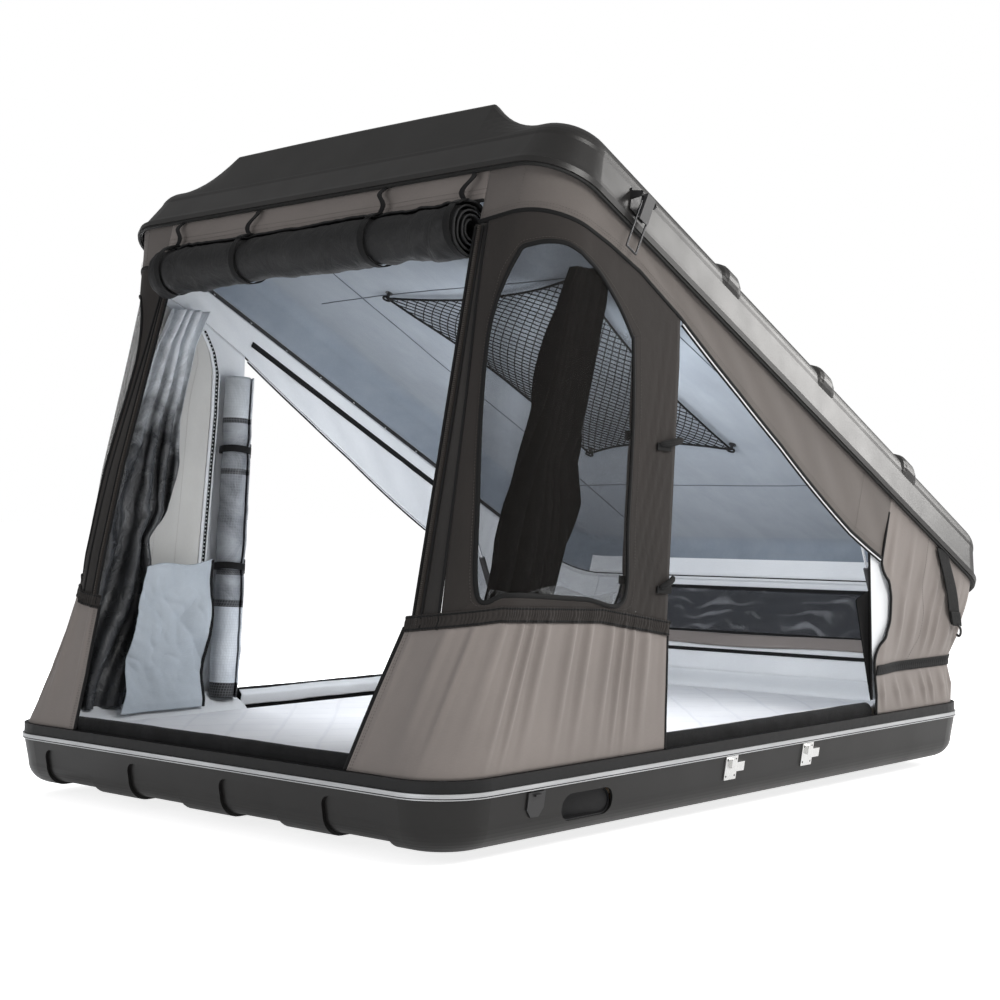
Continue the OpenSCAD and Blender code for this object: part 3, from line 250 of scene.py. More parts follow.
def drawn_in(u, v, h, side):
    """How far elastic and tension pull a wall inwards: at the rear waist, and at the far front corner."""
    u, v, h = np.broadcast_arrays(np.asarray(u, float), np.asarray(v, float), h)
    past = np.where(u > REAR_FINISH, REAR_FINISH + REAR_START - u, u)
    waist = lookup(h, [[0, 0], [60, 17], [WAIST_H, 30], [180, 19], [300, 6], [400, 0]])
    total = waist * ease((past - DOOR_REAR_U + 40) / 170) * (1 - ease((v - .6) / .35))
    if side < 0:
        corner = lookup(v, [[0, 0], [.1, 30], [.235, 58], [.33, 46], [.5, 34], [.85, 30], [.93, 14], [1, 0]])
        total = total + corner * (1 - ease((u - 90) / 140))
    return total


def wall_at(u, v, out=0.0, side=1):
    x, y, nx, ny = rim_at(u)
    head_y, head_z = raised(y, HEAD)
    out = out - drawn_in(u, v, (head_z - FOOT) * v, side)
    spots = [(x + nx * out) * side, y + (head_y - y) * v + ny * out, FOOT + (head_z - FOOT) * v]
    return np.stack(np.broadcast_arrays(*spots), -1)


def outward(u, side=1):
    nx, ny = rim_at(u)[2:]
    return np.stack(np.broadcast_arrays(nx * side, ny, 0 * nx), -1)


def share_at(u, h):
    return h / (raised(rim_at(u)[1], HEAD)[1] - FOOT)


def lookup(x, table):
    table = np.array(table, float)
    return np.interp(x, table[:, 0], table[:, 1])


def mix(a, b, t):
    return a + (b - a) * t


def ease(t):
    t = np.clip(t, 0, 1)
    return t * t * (3 - 2 * t)


def panel_top(u):
    return PANEL_H - lookup(u, [[-72, 24], [150, 0], [467, 16], [DOOR_U - PANEL_LEAN, 56]])


def strip_edge(u):
    return lookup(u, [[STRIP_FRONT, .900], [71, .915], [273, .928], [391, .930], [562, .915], [842, .867],
                      [1042, .827], [1255, .770], [1423, .725], [STRIP_END - 64, .708], [STRIP_END, .700]])


def post_inner(v):
    return lookup(v, [[.23, -53], [.51, -72], [.84, -95], [.90, -99]])


def post_outer(v):
    return lookup(v, [[.24, 23], [.43, 1], [.60, -21], [.76, -46], [.84, -56], [.90, -64]])


def column_front(v):
    return lookup(v, [[0, DOOR_REAR_U], [.255, DOOR_REAR_U - 55], [.559, STRIP_END + .6], [1, STRIP_END + .6]])


def door_curve(v):
    """How far the rear column's edge stands back behind the door."""
    return 82 * ease((v - .235) / .23) * (1 - ease((v - .55) / .16))


def door_line(v):
    """The white lining's straight edge in the door's rear corner."""
    return STRIP_END + lookup(v, [[0, 97], [.512, -8], [.75, -62]])


WINDOW_EDGE = np.array([
    [94, .285], [57, .434], [22, .594], [6, .70], [10, .755], [20, .79], [30, .815], [40, .835], [49, .85],
    [70, .858], [100, .868], [140, .8765], [166, .877], [BEND, .876], [262, .868], [345, .84], [400, .81],
    [412, .796], [458, .663], [503, .472], [535, .315], [400, .305], [210, .295], [150, .29]])


def panel_edge():
    above = lambda u: [u, float(share_at(u, panel_top(u) + .6))]
    below = lambda u: [u, float(strip_edge(u) - share_at(u, .6))]
    beside = lambda v: [float(post_outer(v)), v]
    return np.array([above(26), beside(.434), beside(.594), beside(.70), beside(.79)]
                    + [below(u) for u in (-60, -30, 0, 30, 65, 100, 140, 166, BEND, 273, 391, 562)]
                    + [[590, .82], [625, .663], [668, .472]]
                    + [above(u) for u in (DOOR_U - 70, 467, 200, 150)])


def crumple(a, b, seed, octaves=4):
    """Soft uneven waves over two directions, the same on every run."""
    pick = np.random.RandomState(seed)
    total = np.zeros(np.broadcast(a, b).shape)
    for k in range(octaves * 3):
        f = 1.7 ** (k // 3)
        turn = pick.uniform(0, 2 * np.pi)
        total += np.sin(f * (a * np.cos(turn) + b * np.sin(turn)) + pick.uniform(0, 6.3)) / f
    return total / 4


def creases(a, b, seed):
    """Sharp folds such as crinkled cloth has."""
    return 1 - 2 * np.abs(np.clip(crumple(a, b, seed, 3), -1, 1))


# Mesh makers. A part is (points in millimetres, faces, cloth coordinates in metres, finish number of each face)

def sheet_part(grid, thick, out, front=0, back=1, rim=0, loop=False):
    """Cloth with two faces and a rim, from a grid of points along its middle; out tells which face is the front."""
    grid = np.asarray(grid, float)
    n, m = grid.shape[:2]
    du = np.roll(grid, -1, 0) - np.roll(grid, 1, 0) if loop else np.gradient(grid, axis=0)
    normal = np.cross(du, np.gradient(grid, axis=1))
    normal /= np.linalg.norm(normal, axis=-1, keepdims=True) + 1e-9
    flip = (normal * out).sum() < 0
    if flip:
        normal = -normal
    count = n * m
    half = normal * thick / 2
    points = np.concatenate([(grid + half).reshape(-1, 3), (grid - half).reshape(-1, 3)])
    a = np.arange(count).reshape(n, m)
    if loop:
        a = np.vstack([a, a[:1]])
    skin = np.stack([a[:-1, :-1], a[1:, :-1], a[1:, 1:], a[:-1, 1:]], -1).reshape(-1, 4)
    sides = [np.stack([a[1:, 0], a[:-1, 0], a[:-1, 0] + count, a[1:, 0] + count], -1),
             np.stack([a[:-1, -1], a[1:, -1], a[1:, -1] + count, a[:-1, -1] + count], -1)]
    if not loop:
        sides += [np.stack([a[0, :-1], a[0, 1:], a[0, 1:] + count, a[0, :-1] + count], -1),
                  np.stack([a[-1, 1:], a[-1, :-1], a[-1, :-1] + count, a[-1, 1:] + count], -1)]
    sides = np.concatenate(sides)
    if flip:
        skin, sides = skin[:, ::-1], sides[:, ::-1]
    faces = np.concatenate([skin, skin[:, ::-1] + count, sides])
    which = np.concatenate([np.full(len(skin), front), np.full(len(skin), back), np.full(len(sides), rim)])
    s = np.concatenate([[0], np.cumsum(np.linalg.norm(np.diff(grid[:, m // 2], axis=0), axis=-1))])
    t = np.concatenate([np.zeros((n, 1)), np.cumsum(np.linalg.norm(np.diff(grid, axis=1), axis=-1), 1)], 1)
    uv = np.stack([s[:, None] + 0 * t, t], -1).reshape(-1, 2) * MM
    return points, faces.tolist(), np.concatenate([uv, uv]), which.tolist()


def frames_along(path, up):
    """Two directions across a path at each of its points."""
    path = np.asarray(path, float)
    tangent = np.gradient(path, axis=0)
    tangent /= np.linalg.norm(tangent, axis=-1, keepdims=True) + 1e-9
    side = np.cross(tangent, np.broadcast_to(np.asarray(up, float), path.shape))
    side /= np.linalg.norm(side, axis=-1, keepdims=True) + 1e-9
    return side, np.cross(side, tangent)


def tube_part(path, radius, sides=8, up=(0.13, 0.21, 0.97), flat=1.0, closed=False, finish=0):
    """Round or oval cord along a path; flat squeezes it along the up direction."""
    path = np.asarray(path, float)
    n = len(path)
    if closed:
        around = np.concatenate([path[-1:], path, path[:1]])
        up = np.broadcast_to(np.asarray(up, float), path.shape)
        side, lift = (f[1:-1] for f in frames_along(around, np.concatenate([up[-1:], up, up[:1]])))
    else:
        side, lift = frames_along(path, up)
    r = np.broadcast_to(np.asarray(radius, float), (n,))
    a = np.arange(sides) / sides * 2 * np.pi
    ring = (side[:, None] * np.cos(a)[None, :, None] + lift[:, None] * np.sin(a)[None, :, None] * flat)
    points = (path[:, None] + ring * r[:, None, None]).reshape(-1, 3)
    ids = np.arange(n * sides).reshape(n, sides)
    ids = np.hstack([ids, ids[:, :1]])
    if closed:
        ids = np.vstack([ids, ids[:1]])
    faces = np.stack([ids[:-1, :-1], ids[:-1, 1:], ids[1:, 1:], ids[1:, :-1]], -1).reshape(-1, 4)[:, ::-1].tolist()
    if not closed:
        faces += [list(range(sides)), list(range((n - 1) * sides, n * sides))[::-1]]
    s = np.concatenate([[0], np.cumsum(np.linalg.norm(np.diff(path, axis=0), axis=-1))])
    uv = np.stack(np.broadcast_arrays(s[:, None], (a * 3)[None]), -1).reshape(-1, 2) * MM
    return points, faces, uv, [finish] * len(faces)


def strap_part(path, across, width, thick, finish=0):
    """Flat webbing along a path, a little thicker along its middle."""
    path, across = np.asarray(path, float), np.asarray(across, float)
    across = np.broadcast_to(across, path.shape)
    across = across / np.linalg.norm(across, axis=-1, keepdims=True)
    grid = path[:, None] + across[:, None] * (np.array([-.5, -.42, -.2, .2, .42, .5]) * width)[None, :, None]
    out = np.cross(np.gradient(path, axis=0), across)[:, None]
    return sheet_part(grid, thick, out, finish, finish, finish)


def turned_part(profile, place, axis, sides, finish):
    """Turned shape: pairs of radius and height, set at a place and along an axis."""
    profile = np.array(profile, float)
    axis = np.array(axis, float) / np.linalg.norm(axis)
    helper = np.array([1.0, 0, 0]) if abs(axis[0]) < .8 else np.array([0, 1.0, 0])
    e1 = np.cross(axis, helper)
    e1 /= np.linalg.norm(e1)
    e2 = np.cross(axis, e1)
    a = np.arange(sides) / sides * 2 * np.pi
    ring = e1 * np.cos(a)[:, None] + e2 * np.sin(a)[:, None]
    along = (profile[:, 1][:, None] * axis)[:, None]
    points = np.array(place, float) + profile[:, 0][:, None, None] * ring[None] + along
    k = len(profile)
    ids = np.arange(k * sides).reshape(k, sides)
    ids = np.hstack([ids, ids[:, :1]])
    faces = np.stack([ids[:-1, :-1], ids[:-1, 1:], ids[1:, 1:], ids[1:, :-1]], -1).reshape(-1, 4).tolist()
    faces += [list(range(sides))[::-1], list(range((k - 1) * sides, k * sides))]
    return points.reshape(-1, 3), faces, np.zeros((k * sides, 2)), [finish] * len(faces)


def ring_part(rings):
    """Rings of points joined into a closed form."""
    rings = np.asarray(rings, float)
    k, n = rings.shape[:2]
    ids = np.arange(k * n).reshape(k, n)
    ids = np.hstack([ids, ids[:, :1]])
    faces = np.stack([ids[:-1, :-1], ids[:-1, 1:], ids[1:, 1:], ids[1:, :-1]], -1).reshape(-1, 4).tolist()
    faces += [list(range(n))[::-1], list(range((k - 1) * n, k * n))]
    s = np.cumsum(np.linalg.norm(np.diff(rings, axis=1, append=rings[:, :1]), axis=-1), 1)
    t = np.cumsum(np.linalg.norm(np.diff(rings, axis=0, prepend=rings[:1]), axis=-1), 0)
    uv = np.stack([s, t], -1).reshape(-1, 2) * MM
    return rings.reshape(-1, 3), faces, uv, [0] * len(faces)


def enclosed(points, faces):
    """Volume inside a closed part, negative where its faces look inwards."""
    points = np.asarray(points) - np.mean(points, axis=0)
    total = 0.0
    for count in {len(f) for f in faces}:
        ring = np.array([f for f in faces if len(f) == count])
        for k in range(1, count - 1):
            a, b, c = points[ring[:, 0]], points[ring[:, k]], points[ring[:, k + 1]]
            total += (a * np.cross(b, c)).sum()
    return total


def build(name, parts, finishes):
    """One finished piece from its parts, with every face turned outwards."""
    points, faces, uv, which = [], [], [], []
    start = 0
    for p, f, t, w in parts:
        points.append(p)
        turn = -1 if enclosed(p, f) < 0 else 1
        faces += [[i + start for i in face][::turn] for face in f]
        uv.append(t)
        which += w
        start += len(p)
    points, uv = np.concatenate(points) * MM, np.concatenate(uv)
    mesh = bpy.data.meshes.new(name)
    mesh.from_pydata(points.tolist(), [], faces)
    order = np.concatenate([np.array(f) for f in faces])
    mesh.uv_layers.new(name="cloth").data.foreach_set("uv", uv[order].ravel())
    for finish in finishes:
        mesh.materials.append(finish)
    mesh.polygons.foreach_set("material_index", which)
    mesh.polygons.foreach_set("use_smooth", [True] * len(faces))
    mesh.update()
    obj = bpy.data.objects.new(name, mesh)
    scene.collection.objects.link(obj)
    return obj


# Finishes

# scale at which a wave texture has one band in a metre
WAVE = 0.31416


class Finish:
    """A material with one principled shader, and short calls for the nodes that feed it."""

    def __init__(self, name, coords="Object"):
        self.mat = bpy.data.materials.new(name)
        self.mat.use_nodes = True
        self.tree = self.mat.node_tree
        self.tree.nodes.clear()
        self.end = self.node("ShaderNodeOutputMaterial")
        self.skin = self.node("ShaderNodeBsdfPrincipled")
        self.tree.links.new(self.skin.outputs[0], self.end.inputs[0])
        self.at = self.node("ShaderNodeTexCoord").outputs[coords]
        self.normal = None

    def node(self, kind, **settings):
        made = self.tree.nodes.new(kind)
        for key, value in settings.items():
            setattr(made, key, value)
        return made

    def feed(self, socket, value):
        """Links another node's output to a socket, or sets a plain value there."""
        if isinstance(value, bpy.types.NodeSocket):
            self.tree.links.new(value, socket)
        else:
            socket.default_value = value

    def put(self, node, **values):
        for key, value in values.items():
            self.feed(node.inputs[key.replace("_", " ")], value)

    def place(self, scale=(1, 1, 1), turn=0.0):
        made = self.node("ShaderNodeMapping")
        self.put(made, Vector=self.at, Scale=scale, Rotation=(0, 0, turn))
        return made.outputs[0]

    def noise(self, scale, detail=3.0, rough=0.5, stretch=None, twist=0.0):
        made = self.node("ShaderNodeTexNoise")
        self.put(made, Vector=self.place(stretch) if stretch else self.at, Scale=scale, Detail=detail,
                 Roughness=rough, Distortion=twist)
        return made.outputs[0]

    def bands(self, pitch, across="X", wobble=0.0, turn=0.0):
        made = self.node("ShaderNodeTexWave", bands_direction=across)
        self.put(made, Vector=self.place((1, 1, 1), turn) if turn else self.at, Scale=WAVE / pitch,
                 Distortion=wobble, Detail=1.0)
        return made.outputs["Fac"]

    def math(self, kind, a, b=0.0):
        made = self.node("ShaderNodeMath", operation=kind)
        self.feed(made.inputs[0], a)
        self.feed(made.inputs[1], b)
        return made.outputs[0]

    def span(self, value, low, high, start=0.3, end=0.7):
        made = self.node("ShaderNodeMapRange")
        self.put(made, Value=value, From_Min=start, From_Max=end, To_Min=low, To_Max=high)
        return made.outputs[0]

    def tones(self, value, *stops):
        made = self.node("ShaderNodeValToRGB")
        self.tree.links.new(value, made.inputs[0])
        ramp = made.color_ramp
        while len(ramp.elements) < len(stops):
            ramp.elements.new(0.5)
        for element, (at, colour) in zip(ramp.elements, stops):
            element.position, element.color = at, (*colour, 1)
        return made.outputs[0]

    def along(self, axis):
        split = self.node("ShaderNodeSeparateXYZ")
        self.put(split, Vector=self.at)
        return split.outputs[axis]

    def blend(self, factor, a, b):
        made = self.node("ShaderNodeMix", data_type="RGBA")
        self.feed(made.inputs[0], factor)
        for socket, tone in ((made.inputs[6], a), (made.inputs[7], b)):
            self.feed(socket, (*tone, 1) if isinstance(tone, tuple) else tone)
        return made.outputs[2]

    def relief(self, height, strength, depth):
        made = self.node("ShaderNodeBump")
        self.put(made, Height=height, Strength=strength, Distance=depth)
        if self.normal is not None:
            self.put(made, Normal=self.normal)
        self.normal = made.outputs[0]

    def done(self, colour, rough, **more):
        self.put(self.skin, Base_Color=colour, Roughness=rough, **more)
        if self.normal is not None:
            self.put(self.skin, Normal=self.normal)
        return self.mat


def shade(tone, share):
    return tuple(c * share for c in tone)


def moulded_shell(name, depth=1.0, shine=.5):
    f = Finish(name)
    blotch = f.noise(3.2, 5, .55)
    grain = f.noise(520, 2, .6)
    scuff = f.noise(26, 6, .7, stretch=(1, .12, .6))
    # depth scales both tones; below 1 it paints shade onto a copy of the same gelcoat
    dark, light = (shade(tone, depth) for tone in ((.0145, .0137, .0132), (.019, .018, .0173)))
    colour = f.tones(blotch, (.3, dark), (.7, light))
    colour = f.blend(f.span(scuff, 0.0, .12, .64, .82), colour, (.06, .058, .055))
    f.relief(grain, .10, .0006)
    f.relief(f.noise(55, 3), .03, .002)
    return f.done(colour, f.span(f.noise(9, 2), .36, .42), Specular_IOR_Level=shine)


def grooved_trim(low, high):
    """Bright rail with painted shade in a groove along its lower third, by height."""
    f = Finish("bright_trim")
    level = f.span(f.along(2), 0.0, 1.0, low, high)
    lines = f.noise(160, 4, .65, stretch=(.03, .03, 1))
    cloud = f.noise(5, 3)
    colour = f.tones(lines, (.25, (.50, .51, .52)), (.75, (.66, .67, .68)))
    colour = f.blend(f.span(cloud, 0.0, .4, .35, .7), colour, (.42, .43, .44))
    # the groove is painted dark as its shade, over a matching bump
    groove = f.math("MULTIPLY", f.math("GREATER_THAN", level, .16), f.math("LESS_THAN", level, .34))
    colour = f.blend(groove, colour, (.05, .05, .052))
    f.relief(f.math("SUBTRACT", 1.0, groove), .5, .001)
    return f.done(colour, f.span(cloud, .36, .5), Metallic=1.0)


def brushed_metal(name, tone, rough, streak=(1, .02, 1), fine=160):
    f = Finish(name)
    lines = f.noise(fine, 4, .65, stretch=streak)
    cloud = f.noise(6, 3)
    colour = f.tones(lines, (.25, shade(tone, .86)), (.75, tone))
    colour = f.blend(f.span(cloud, 0.0, .25), colour, shade(tone, .8))
    f.relief(lines, .08, .0004)
    return f.done(colour, f.span(cloud, rough - .06, rough + .08), Metallic=1.0)


def rubber(name, tone, rough):
    f = Finish(name)
    dust = f.noise(60, 5, .65)
    colour = f.tones(dust, (.3, shade(tone, .8)), (.75, shade(tone, 1.35)))
    f.relief(f.noise(420, 2), .12, .0005)
    return f.done(colour, f.span(dust, rough - .08, rough + .1), Specular_IOR_Level=.3)


def painted_metal(name, tone):
    f = Finish(name)
    wear = f.noise(90, 5, .7)
    colour = f.tones(wear, (.35, tone), (.66, shade(tone, 1.5)), (.78, (.2, .2, .2)))
    f.relief(f.noise(300, 2), .1, .0004)
    return f.done(colour, f.span(wear, .34, .55), Specular_IOR_Level=.55)


def taped_batten(rear_y):
    """Black rim batten whose rear run lies under white tape."""
    f = Finish("rim_batten_black")
    taped = f.span(f.along(1), 0.0, 1.0, rear_y - .002, rear_y + .002)
    wear = f.noise(90, 5, .7)
    weave = f.math("MAXIMUM", f.bands(.002, "X", .4), f.bands(.002, "Z", .4))
    paint = f.tones(wear, (.35, (.018, .018, .019)), (.66, (.027, .027, .029)), (.78, (.2, .2, .2)))
    tape = f.tones(weave, (.2, (.70, .72, .75)), (.9, (.83, .85, .87)))
    f.relief(weave, .15, .0005)
    return f.done(f.blend(taped, paint, tape), f.span(taped, .45, .8, 0.0, 1.0))


def plywood():
    f = Finish("floor_plywood")
    grain = f.noise(12, 6, .6, stretch=(9, .5, 1), twist=.6)
    colour = f.tones(grain, (.3, (.42, .29, .17)), (.7, (.60, .45, .28)))
    f.relief(grain, .12, .0006)
    return f.done(colour, f.span(grain, .5, .65))


def woven(name, light, dark, pitch, rough=.82, sheen=.12, soft=.35, wrinkle=10.0, shine=.3):
    """Woven cloth: threads both ways, slubs, a soft crumple and uneven dye."""
    f = Finish(name, "UV")
    warp, weft = f.bands(pitch, "X", .4), f.bands(pitch, "Y", .4)
    weave = f.math("MAXIMUM", warp, weft)
    slub = f.noise(70, 3, .6, stretch=(1, 8, 1))
    dye = f.noise(3.5, 4, .55)
    colour = f.tones(dye, (.3, dark), (.7, light))
    colour = f.blend(f.span(slub, 0.0, .3, .5, .8), colour, shade(light, 1.15))
    colour = f.blend(f.span(weave, .22, 0.0, .2, .9), colour, shade(dark, .55))
    f.relief(weave, .22, .0005)
    f.relief(f.noise(wrinkle, 4, .6), soft, .006)
    return f.done(colour, f.span(dye, rough - .05, rough + .07), Sheen_Weight=sheen, Sheen_Roughness=.5,
                  Specular_IOR_Level=shine)


def see_through_mesh(name, tone, pitch, cover, ripple=None):
    """Fine netting: dark threads with clear holes between them; ripple is a paler tone painted as highlights where it
    lies in waves.
    """
    f = Finish(name, "UV")
    warp, weft = f.bands(pitch, "X"), f.bands(pitch, "Y")
    thread = f.math("MAXIMUM", warp, weft)
    edge = .5 + .5 * math.cos(math.pi * (1 - math.sqrt(1 - cover)))
    holes = f.span(thread, 0.0, 1.0, edge - .08, edge + .08)
    patch = f.noise(4, 3)
    colour = f.tones(patch, (.3, shade(tone, .85)), (.7, tone))
    if ripple:
        # painted highlight on the waves of the netting
        waves = f.math("MULTIPLY", f.bands(.045, "Y", 11.0), f.span(f.noise(5, 3), .2, 1.0, .35, .6))
        colour = f.blend(f.span(waves, 0.0, .8, .45, .95), colour, ripple)
    f.relief(thread, .2, .0004)
    f.put(f.skin, Alpha=holes)
    return f.done(colour, f.span(patch, .7, .85), Specular_IOR_Level=.05)


def webbing(name, tone, pitch=.0022):
    f = Finish(name, "UV")
    rib, cross = f.bands(pitch, "Y"), f.bands(pitch * 1.6, "X", .5)
    lint = f.noise(240, 3, .7)
    colour = f.tones(f.math("MULTIPLY", rib, cross), (.1, shade(tone, .55)), (.8, tone))
    colour = f.blend(f.span(lint, 0.0, .3, .58, .78), colour, shade(tone, 1.7))
    f.relief(rib, .35, .0006)
    f.relief(cross, .2, .0004)
    return f.done(colour, f.span(lint, .7, .88), Sheen_Weight=.04, Sheen_Roughness=.5, Specular_IOR_Level=.2)


def velvet():
    f = Finish("sill_velvet")
    pile = f.noise(700, 2, .7)
    lean = f.noise(16, 4, .6)
    colour = f.tones(lean, (.3, (.006, .006, .0065)), (.7, (.015, .015, .016)))
    f.relief(pile, .5, .0012)
    f.relief(lean, .25, .004)
    return f.done(colour, f.span(pile, .8, .97), Sheen_Weight=.10, Sheen_Roughness=.35, Specular_IOR_Level=.2)


def felt_liner():
    f = Finish("felt_liner")
    fibre = f.noise(260, 5, .75)
    cloud = f.noise(2.4, 6, .62)
    drag = f.noise(9, 5, .6, stretch=(1.6, .35, 1))
    colour = f.tones(cloud, (.28, (.155, .185, .225)), (.55, (.20, .235, .28)), (.75, (.255, .29, .335)))
    colour = f.blend(f.span(drag, 0.0, .35, .45, .75), colour, (.30, .335, .375))
    colour = f.blend(f.span(fibre, 0.0, .22, .5, .75), colour, (.36, .40, .44))
    f.relief(fibre, .35, .0012)
    f.relief(drag, .3, .006)
    return f.done(colour, f.span(fibre, .85, .98), Sheen_Weight=.4, Sheen_Roughness=.6)


def mattress_cloth():
    f = Finish("mattress_cloth")
    weave = f.math("MULTIPLY", f.bands(.0026, "X", .3), f.bands(.0026, "Y", .3))
    diagonal = .7854
    lines = f.math("MINIMUM", f.bands(.12, "X", .9, diagonal), f.bands(.12, "X", .9, -diagonal))
    sewn = f.span(lines, 0.0, 1.0, .0, .03)
    cloud = f.noise(5, 4)
    colour = f.tones(cloud, (.3, (.78, .79, .83)), (.7, (.86, .87, .90)))
    colour = f.blend(f.span(sewn, .3, 0.0, 0, 1), colour, (.62, .64, .72))
    f.relief(sewn, .3, .003)
    f.relief(weave, .12, .0006)
    return f.done(colour, f.span(cloud, .82, .92), Sheen_Weight=.3, Sheen_Roughness=.5)


def crinkled_cloth(name, tone, bright, rough, shine=.6, painted_glare_from=None):
    """Coated cloth with small hard creases that catch the light; from the given height up, a painted reflection turns
    it pale.
    """
    f = Finish(name, "UV")
    fold = f.noise(17, 7, .62, twist=.7)
    ridge = f.math("ABSOLUTE", f.math("SUBTRACT", fold, .5))
    weave = f.math("MAXIMUM", f.bands(.0018, "X", .3), f.bands(.0018, "Y", .3))
    colour = f.tones(f.noise(6, 4), (.3, tone), (.7, bright))
    if painted_glare_from:
        # pale painted reflection over the upper part, above the given height
        uneven = f.math("MULTIPLY", f.math("SUBTRACT", f.noise(9, 5, .65, twist=.8), .5), .55)
        level = f.math("ADD", f.along(0), uneven)
        colour = f.blend(f.span(level, 0.0, 1.0, painted_glare_from, painted_glare_from + .30), colour, (.80, .83, .86))
    f.relief(ridge, .7, .012)
    f.relief(weave, .15, .0005)
    return f.done(colour, f.span(fold, rough - .07, rough + .1), Specular_IOR_Level=shine)


def roll_cloth_left():
    """Grey ripstop of the far door roll, by height along it: dark bands, a pale lower part and a black foot."""
    f = Finish("door_roll_grey", "UV")
    height = f.along(0)
    grid = f.math("MAXIMUM", *(f.span(f.bands(.0075, way), 0, 1, .86, .97) for way in "XY"))
    fold = f.noise(11, 6, .6, twist=.5)
    grey = f.tones(fold, (.32, (.115, .125, .14)), (.68, (.40, .42, .45)))
    pale = f.tones(fold, (.3, (.58, .62, .67)), (.7, (.78, .82, .86)))
    upper = f.tones(fold, (.3, (.36, .385, .41)), (.7, (.62, .65, .68)))
    body = f.blend(f.math("LESS_THAN", height, .265), grey, pale)
    body = f.blend(f.math("GREATER_THAN", height, .79), body, upper)
    for low, high in ((.255, .275), (.345, .36), (.63, .645), (.775, .79)):
        inside = f.math("MULTIPLY", f.math("GREATER_THAN", height, low), f.math("LESS_THAN", height, high))
        body = f.blend(inside, body, (.035, .036, .04))
    body = f.blend(f.math("LESS_THAN", height, .042), body, (.02, .02, .021))
    body = f.blend(f.math("MULTIPLY", grid, .25), body, (.38, .39, .41))
    f.relief(fold, .6, .010)
    f.relief(grid, .3, .0005)
    return f.done(body, f.span(fold, .42, .62), Specular_IOR_Level=.5)


def clear_film():
    f = Finish("clear_film", "UV")
    ripple = f.noise(22, 4)
    f.relief(ripple, .6, .006)
    f.put(f.skin, Alpha=.22)
    return f.done((.9, .93, .96, 1), f.span(ripple, .06, .16), Specular_IOR_Level=.6)


def stitch_thread(name, tone):
    f = Finish(name)
    twist = f.noise(900, 2)
    colour = f.tones(twist, (.3, shade(tone, .7)), (.7, tone))
    return f.done(colour, f.span(twist, .6, .8))


SHELL = moulded_shell("moulded_lid")
# the base takes the lid's gelcoat at .62 of its tones: painted shade for the tub low by the floor
SHADED_BASE_SHELL = moulded_shell("moulded_base_painted_shade", .62, .38)
STRIP = grooved_trim(*(pick(c[2] for c in cad["trim_strip"].bound_box) for pick in (min, max)))
RAIL = rubber("black_rail", (.010, .010, .0105), .5)
BOARD = plywood()
BATTEN = brushed_metal("batten_aluminium", (.70, .70, .69), .42)
FOOT_RAIL = brushed_metal("foot_rail_aluminium", (.66, .67, .68), .38)
STEEL = brushed_metal("stainless_steel", (.78, .78, .77), .27, (1, 1, .05), 240)
BLACK_METAL = painted_metal("black_painted_metal", (.02, .02, .021))
LEVER_METAL = painted_metal("grey_painted_metal", (.034, .034, .036))
WIRE = brushed_metal("wire_steel", (.075, .075, .078), .36, (1, 1, .1), 300)
ROD = brushed_metal("polished_rod", (.85, .85, .86), .14, (1, 1, .04), 300)
GASKET = rubber("gasket_rubber", (.02, .02, .02), .7)
VENT = rubber("vent_plastic", (.016, .016, .017), .45)
RIM_BATTEN = taped_batten(max(c[1] for c in cad["rim_batten"].bound_box) - .085)
CANVAS = woven("taupe_canvas", (.252, .223, .208), (.212, .188, .176), .0021, soft=.28, wrinkle=7.0)
# the taupe canvas made darker for the upper strips: painted shade of the lid's overhang
SHADED_STRIP_CANVAS = woven("strip_canvas", (.146, .130, .121), (.123, .109, .102), .0021, soft=.28, wrinkle=7.0)
LINING = woven("white_lining", (.86, .88, .90), (.76, .78, .81), .002, rough=.7, sheen=.15, soft=.3, wrinkle=9.0)
BEIGE = woven("beige_lining", (.66, .65, .62), (.58, .57, .55), .002, soft=.25, wrinkle=6.0)
GREY_FLAP = woven("grey_flap", (.60, .65, .70), (.42, .465, .51), .002, rough=.6, sheen=.1, soft=.8, wrinkle=9.0)
WINDOW = woven("window_cloth", (.040, .035, .033), (.028, .025, .0235), .0022, .86, .04, soft=.4, wrinkle=12.0,
               shine=.2)
POST = woven("post_cloth", (.046, .043, .041), (.031, .029, .028), .0022, .85, .03, soft=.25, shine=.2)
SCREEN = see_through_mesh("window_mesh", (.019, .0175, .0165), .0019, .34)
# the pocket mesh takes a painted highlight on its waves
FINE_MESH = see_through_mesh("pocket_mesh", (.062, .064, .071), .0021, .64, (.26, .265, .28))
BLACK = webbing("black_webbing", (.012, .012, .0125))
ZIP = webbing("zip_tape", (.040, .034, .030), .0015)
FRONT_CLOTH = crinkled_cloth("front_roll_cloth", (.007, .007, .0075), (.016, .016, .017), .58, .4)
NEAR_ROLL = woven("near_roll_cloth", (.080, .068, .060), (.050, .043, .039), .0022, .85, .04, soft=.45,
                  wrinkle=14.0, shine=.2)
FAR_ROLL = roll_cloth_left()
NEAR_CURTAIN = woven("near_curtain_cloth", (.010, .010, .0105), (.006, .006, .0062), .0022, .9, .01, shine=.05)
# its upper part carries a painted reflection
FAR_CURTAIN = crinkled_cloth("far_curtain_cloth", (.016, .0165, .018), (.050, .052, .056), .28, painted_glare_from=.74)
VELVET = velvet()
FELT = felt_liner()
MATTRESS = mattress_cloth()
NET_CORD = webbing("net_cord", (.016, .016, .017), .003)
FILM = clear_film()
THREAD_DARK = stitch_thread("dark_thread", (.10, .088, .08))
THREAD_PALE = stitch_thread("pale_thread", (.45, .41, .38))
SEAM_DARK = stitch_thread("liner_seam", (.10, .115, .135))
LINING_THREAD = stitch_thread("white_thread", (.8, .81, .83))


def dress(finish, *names):
    for name in names:
        cad[name].material_slots[0].material = finish


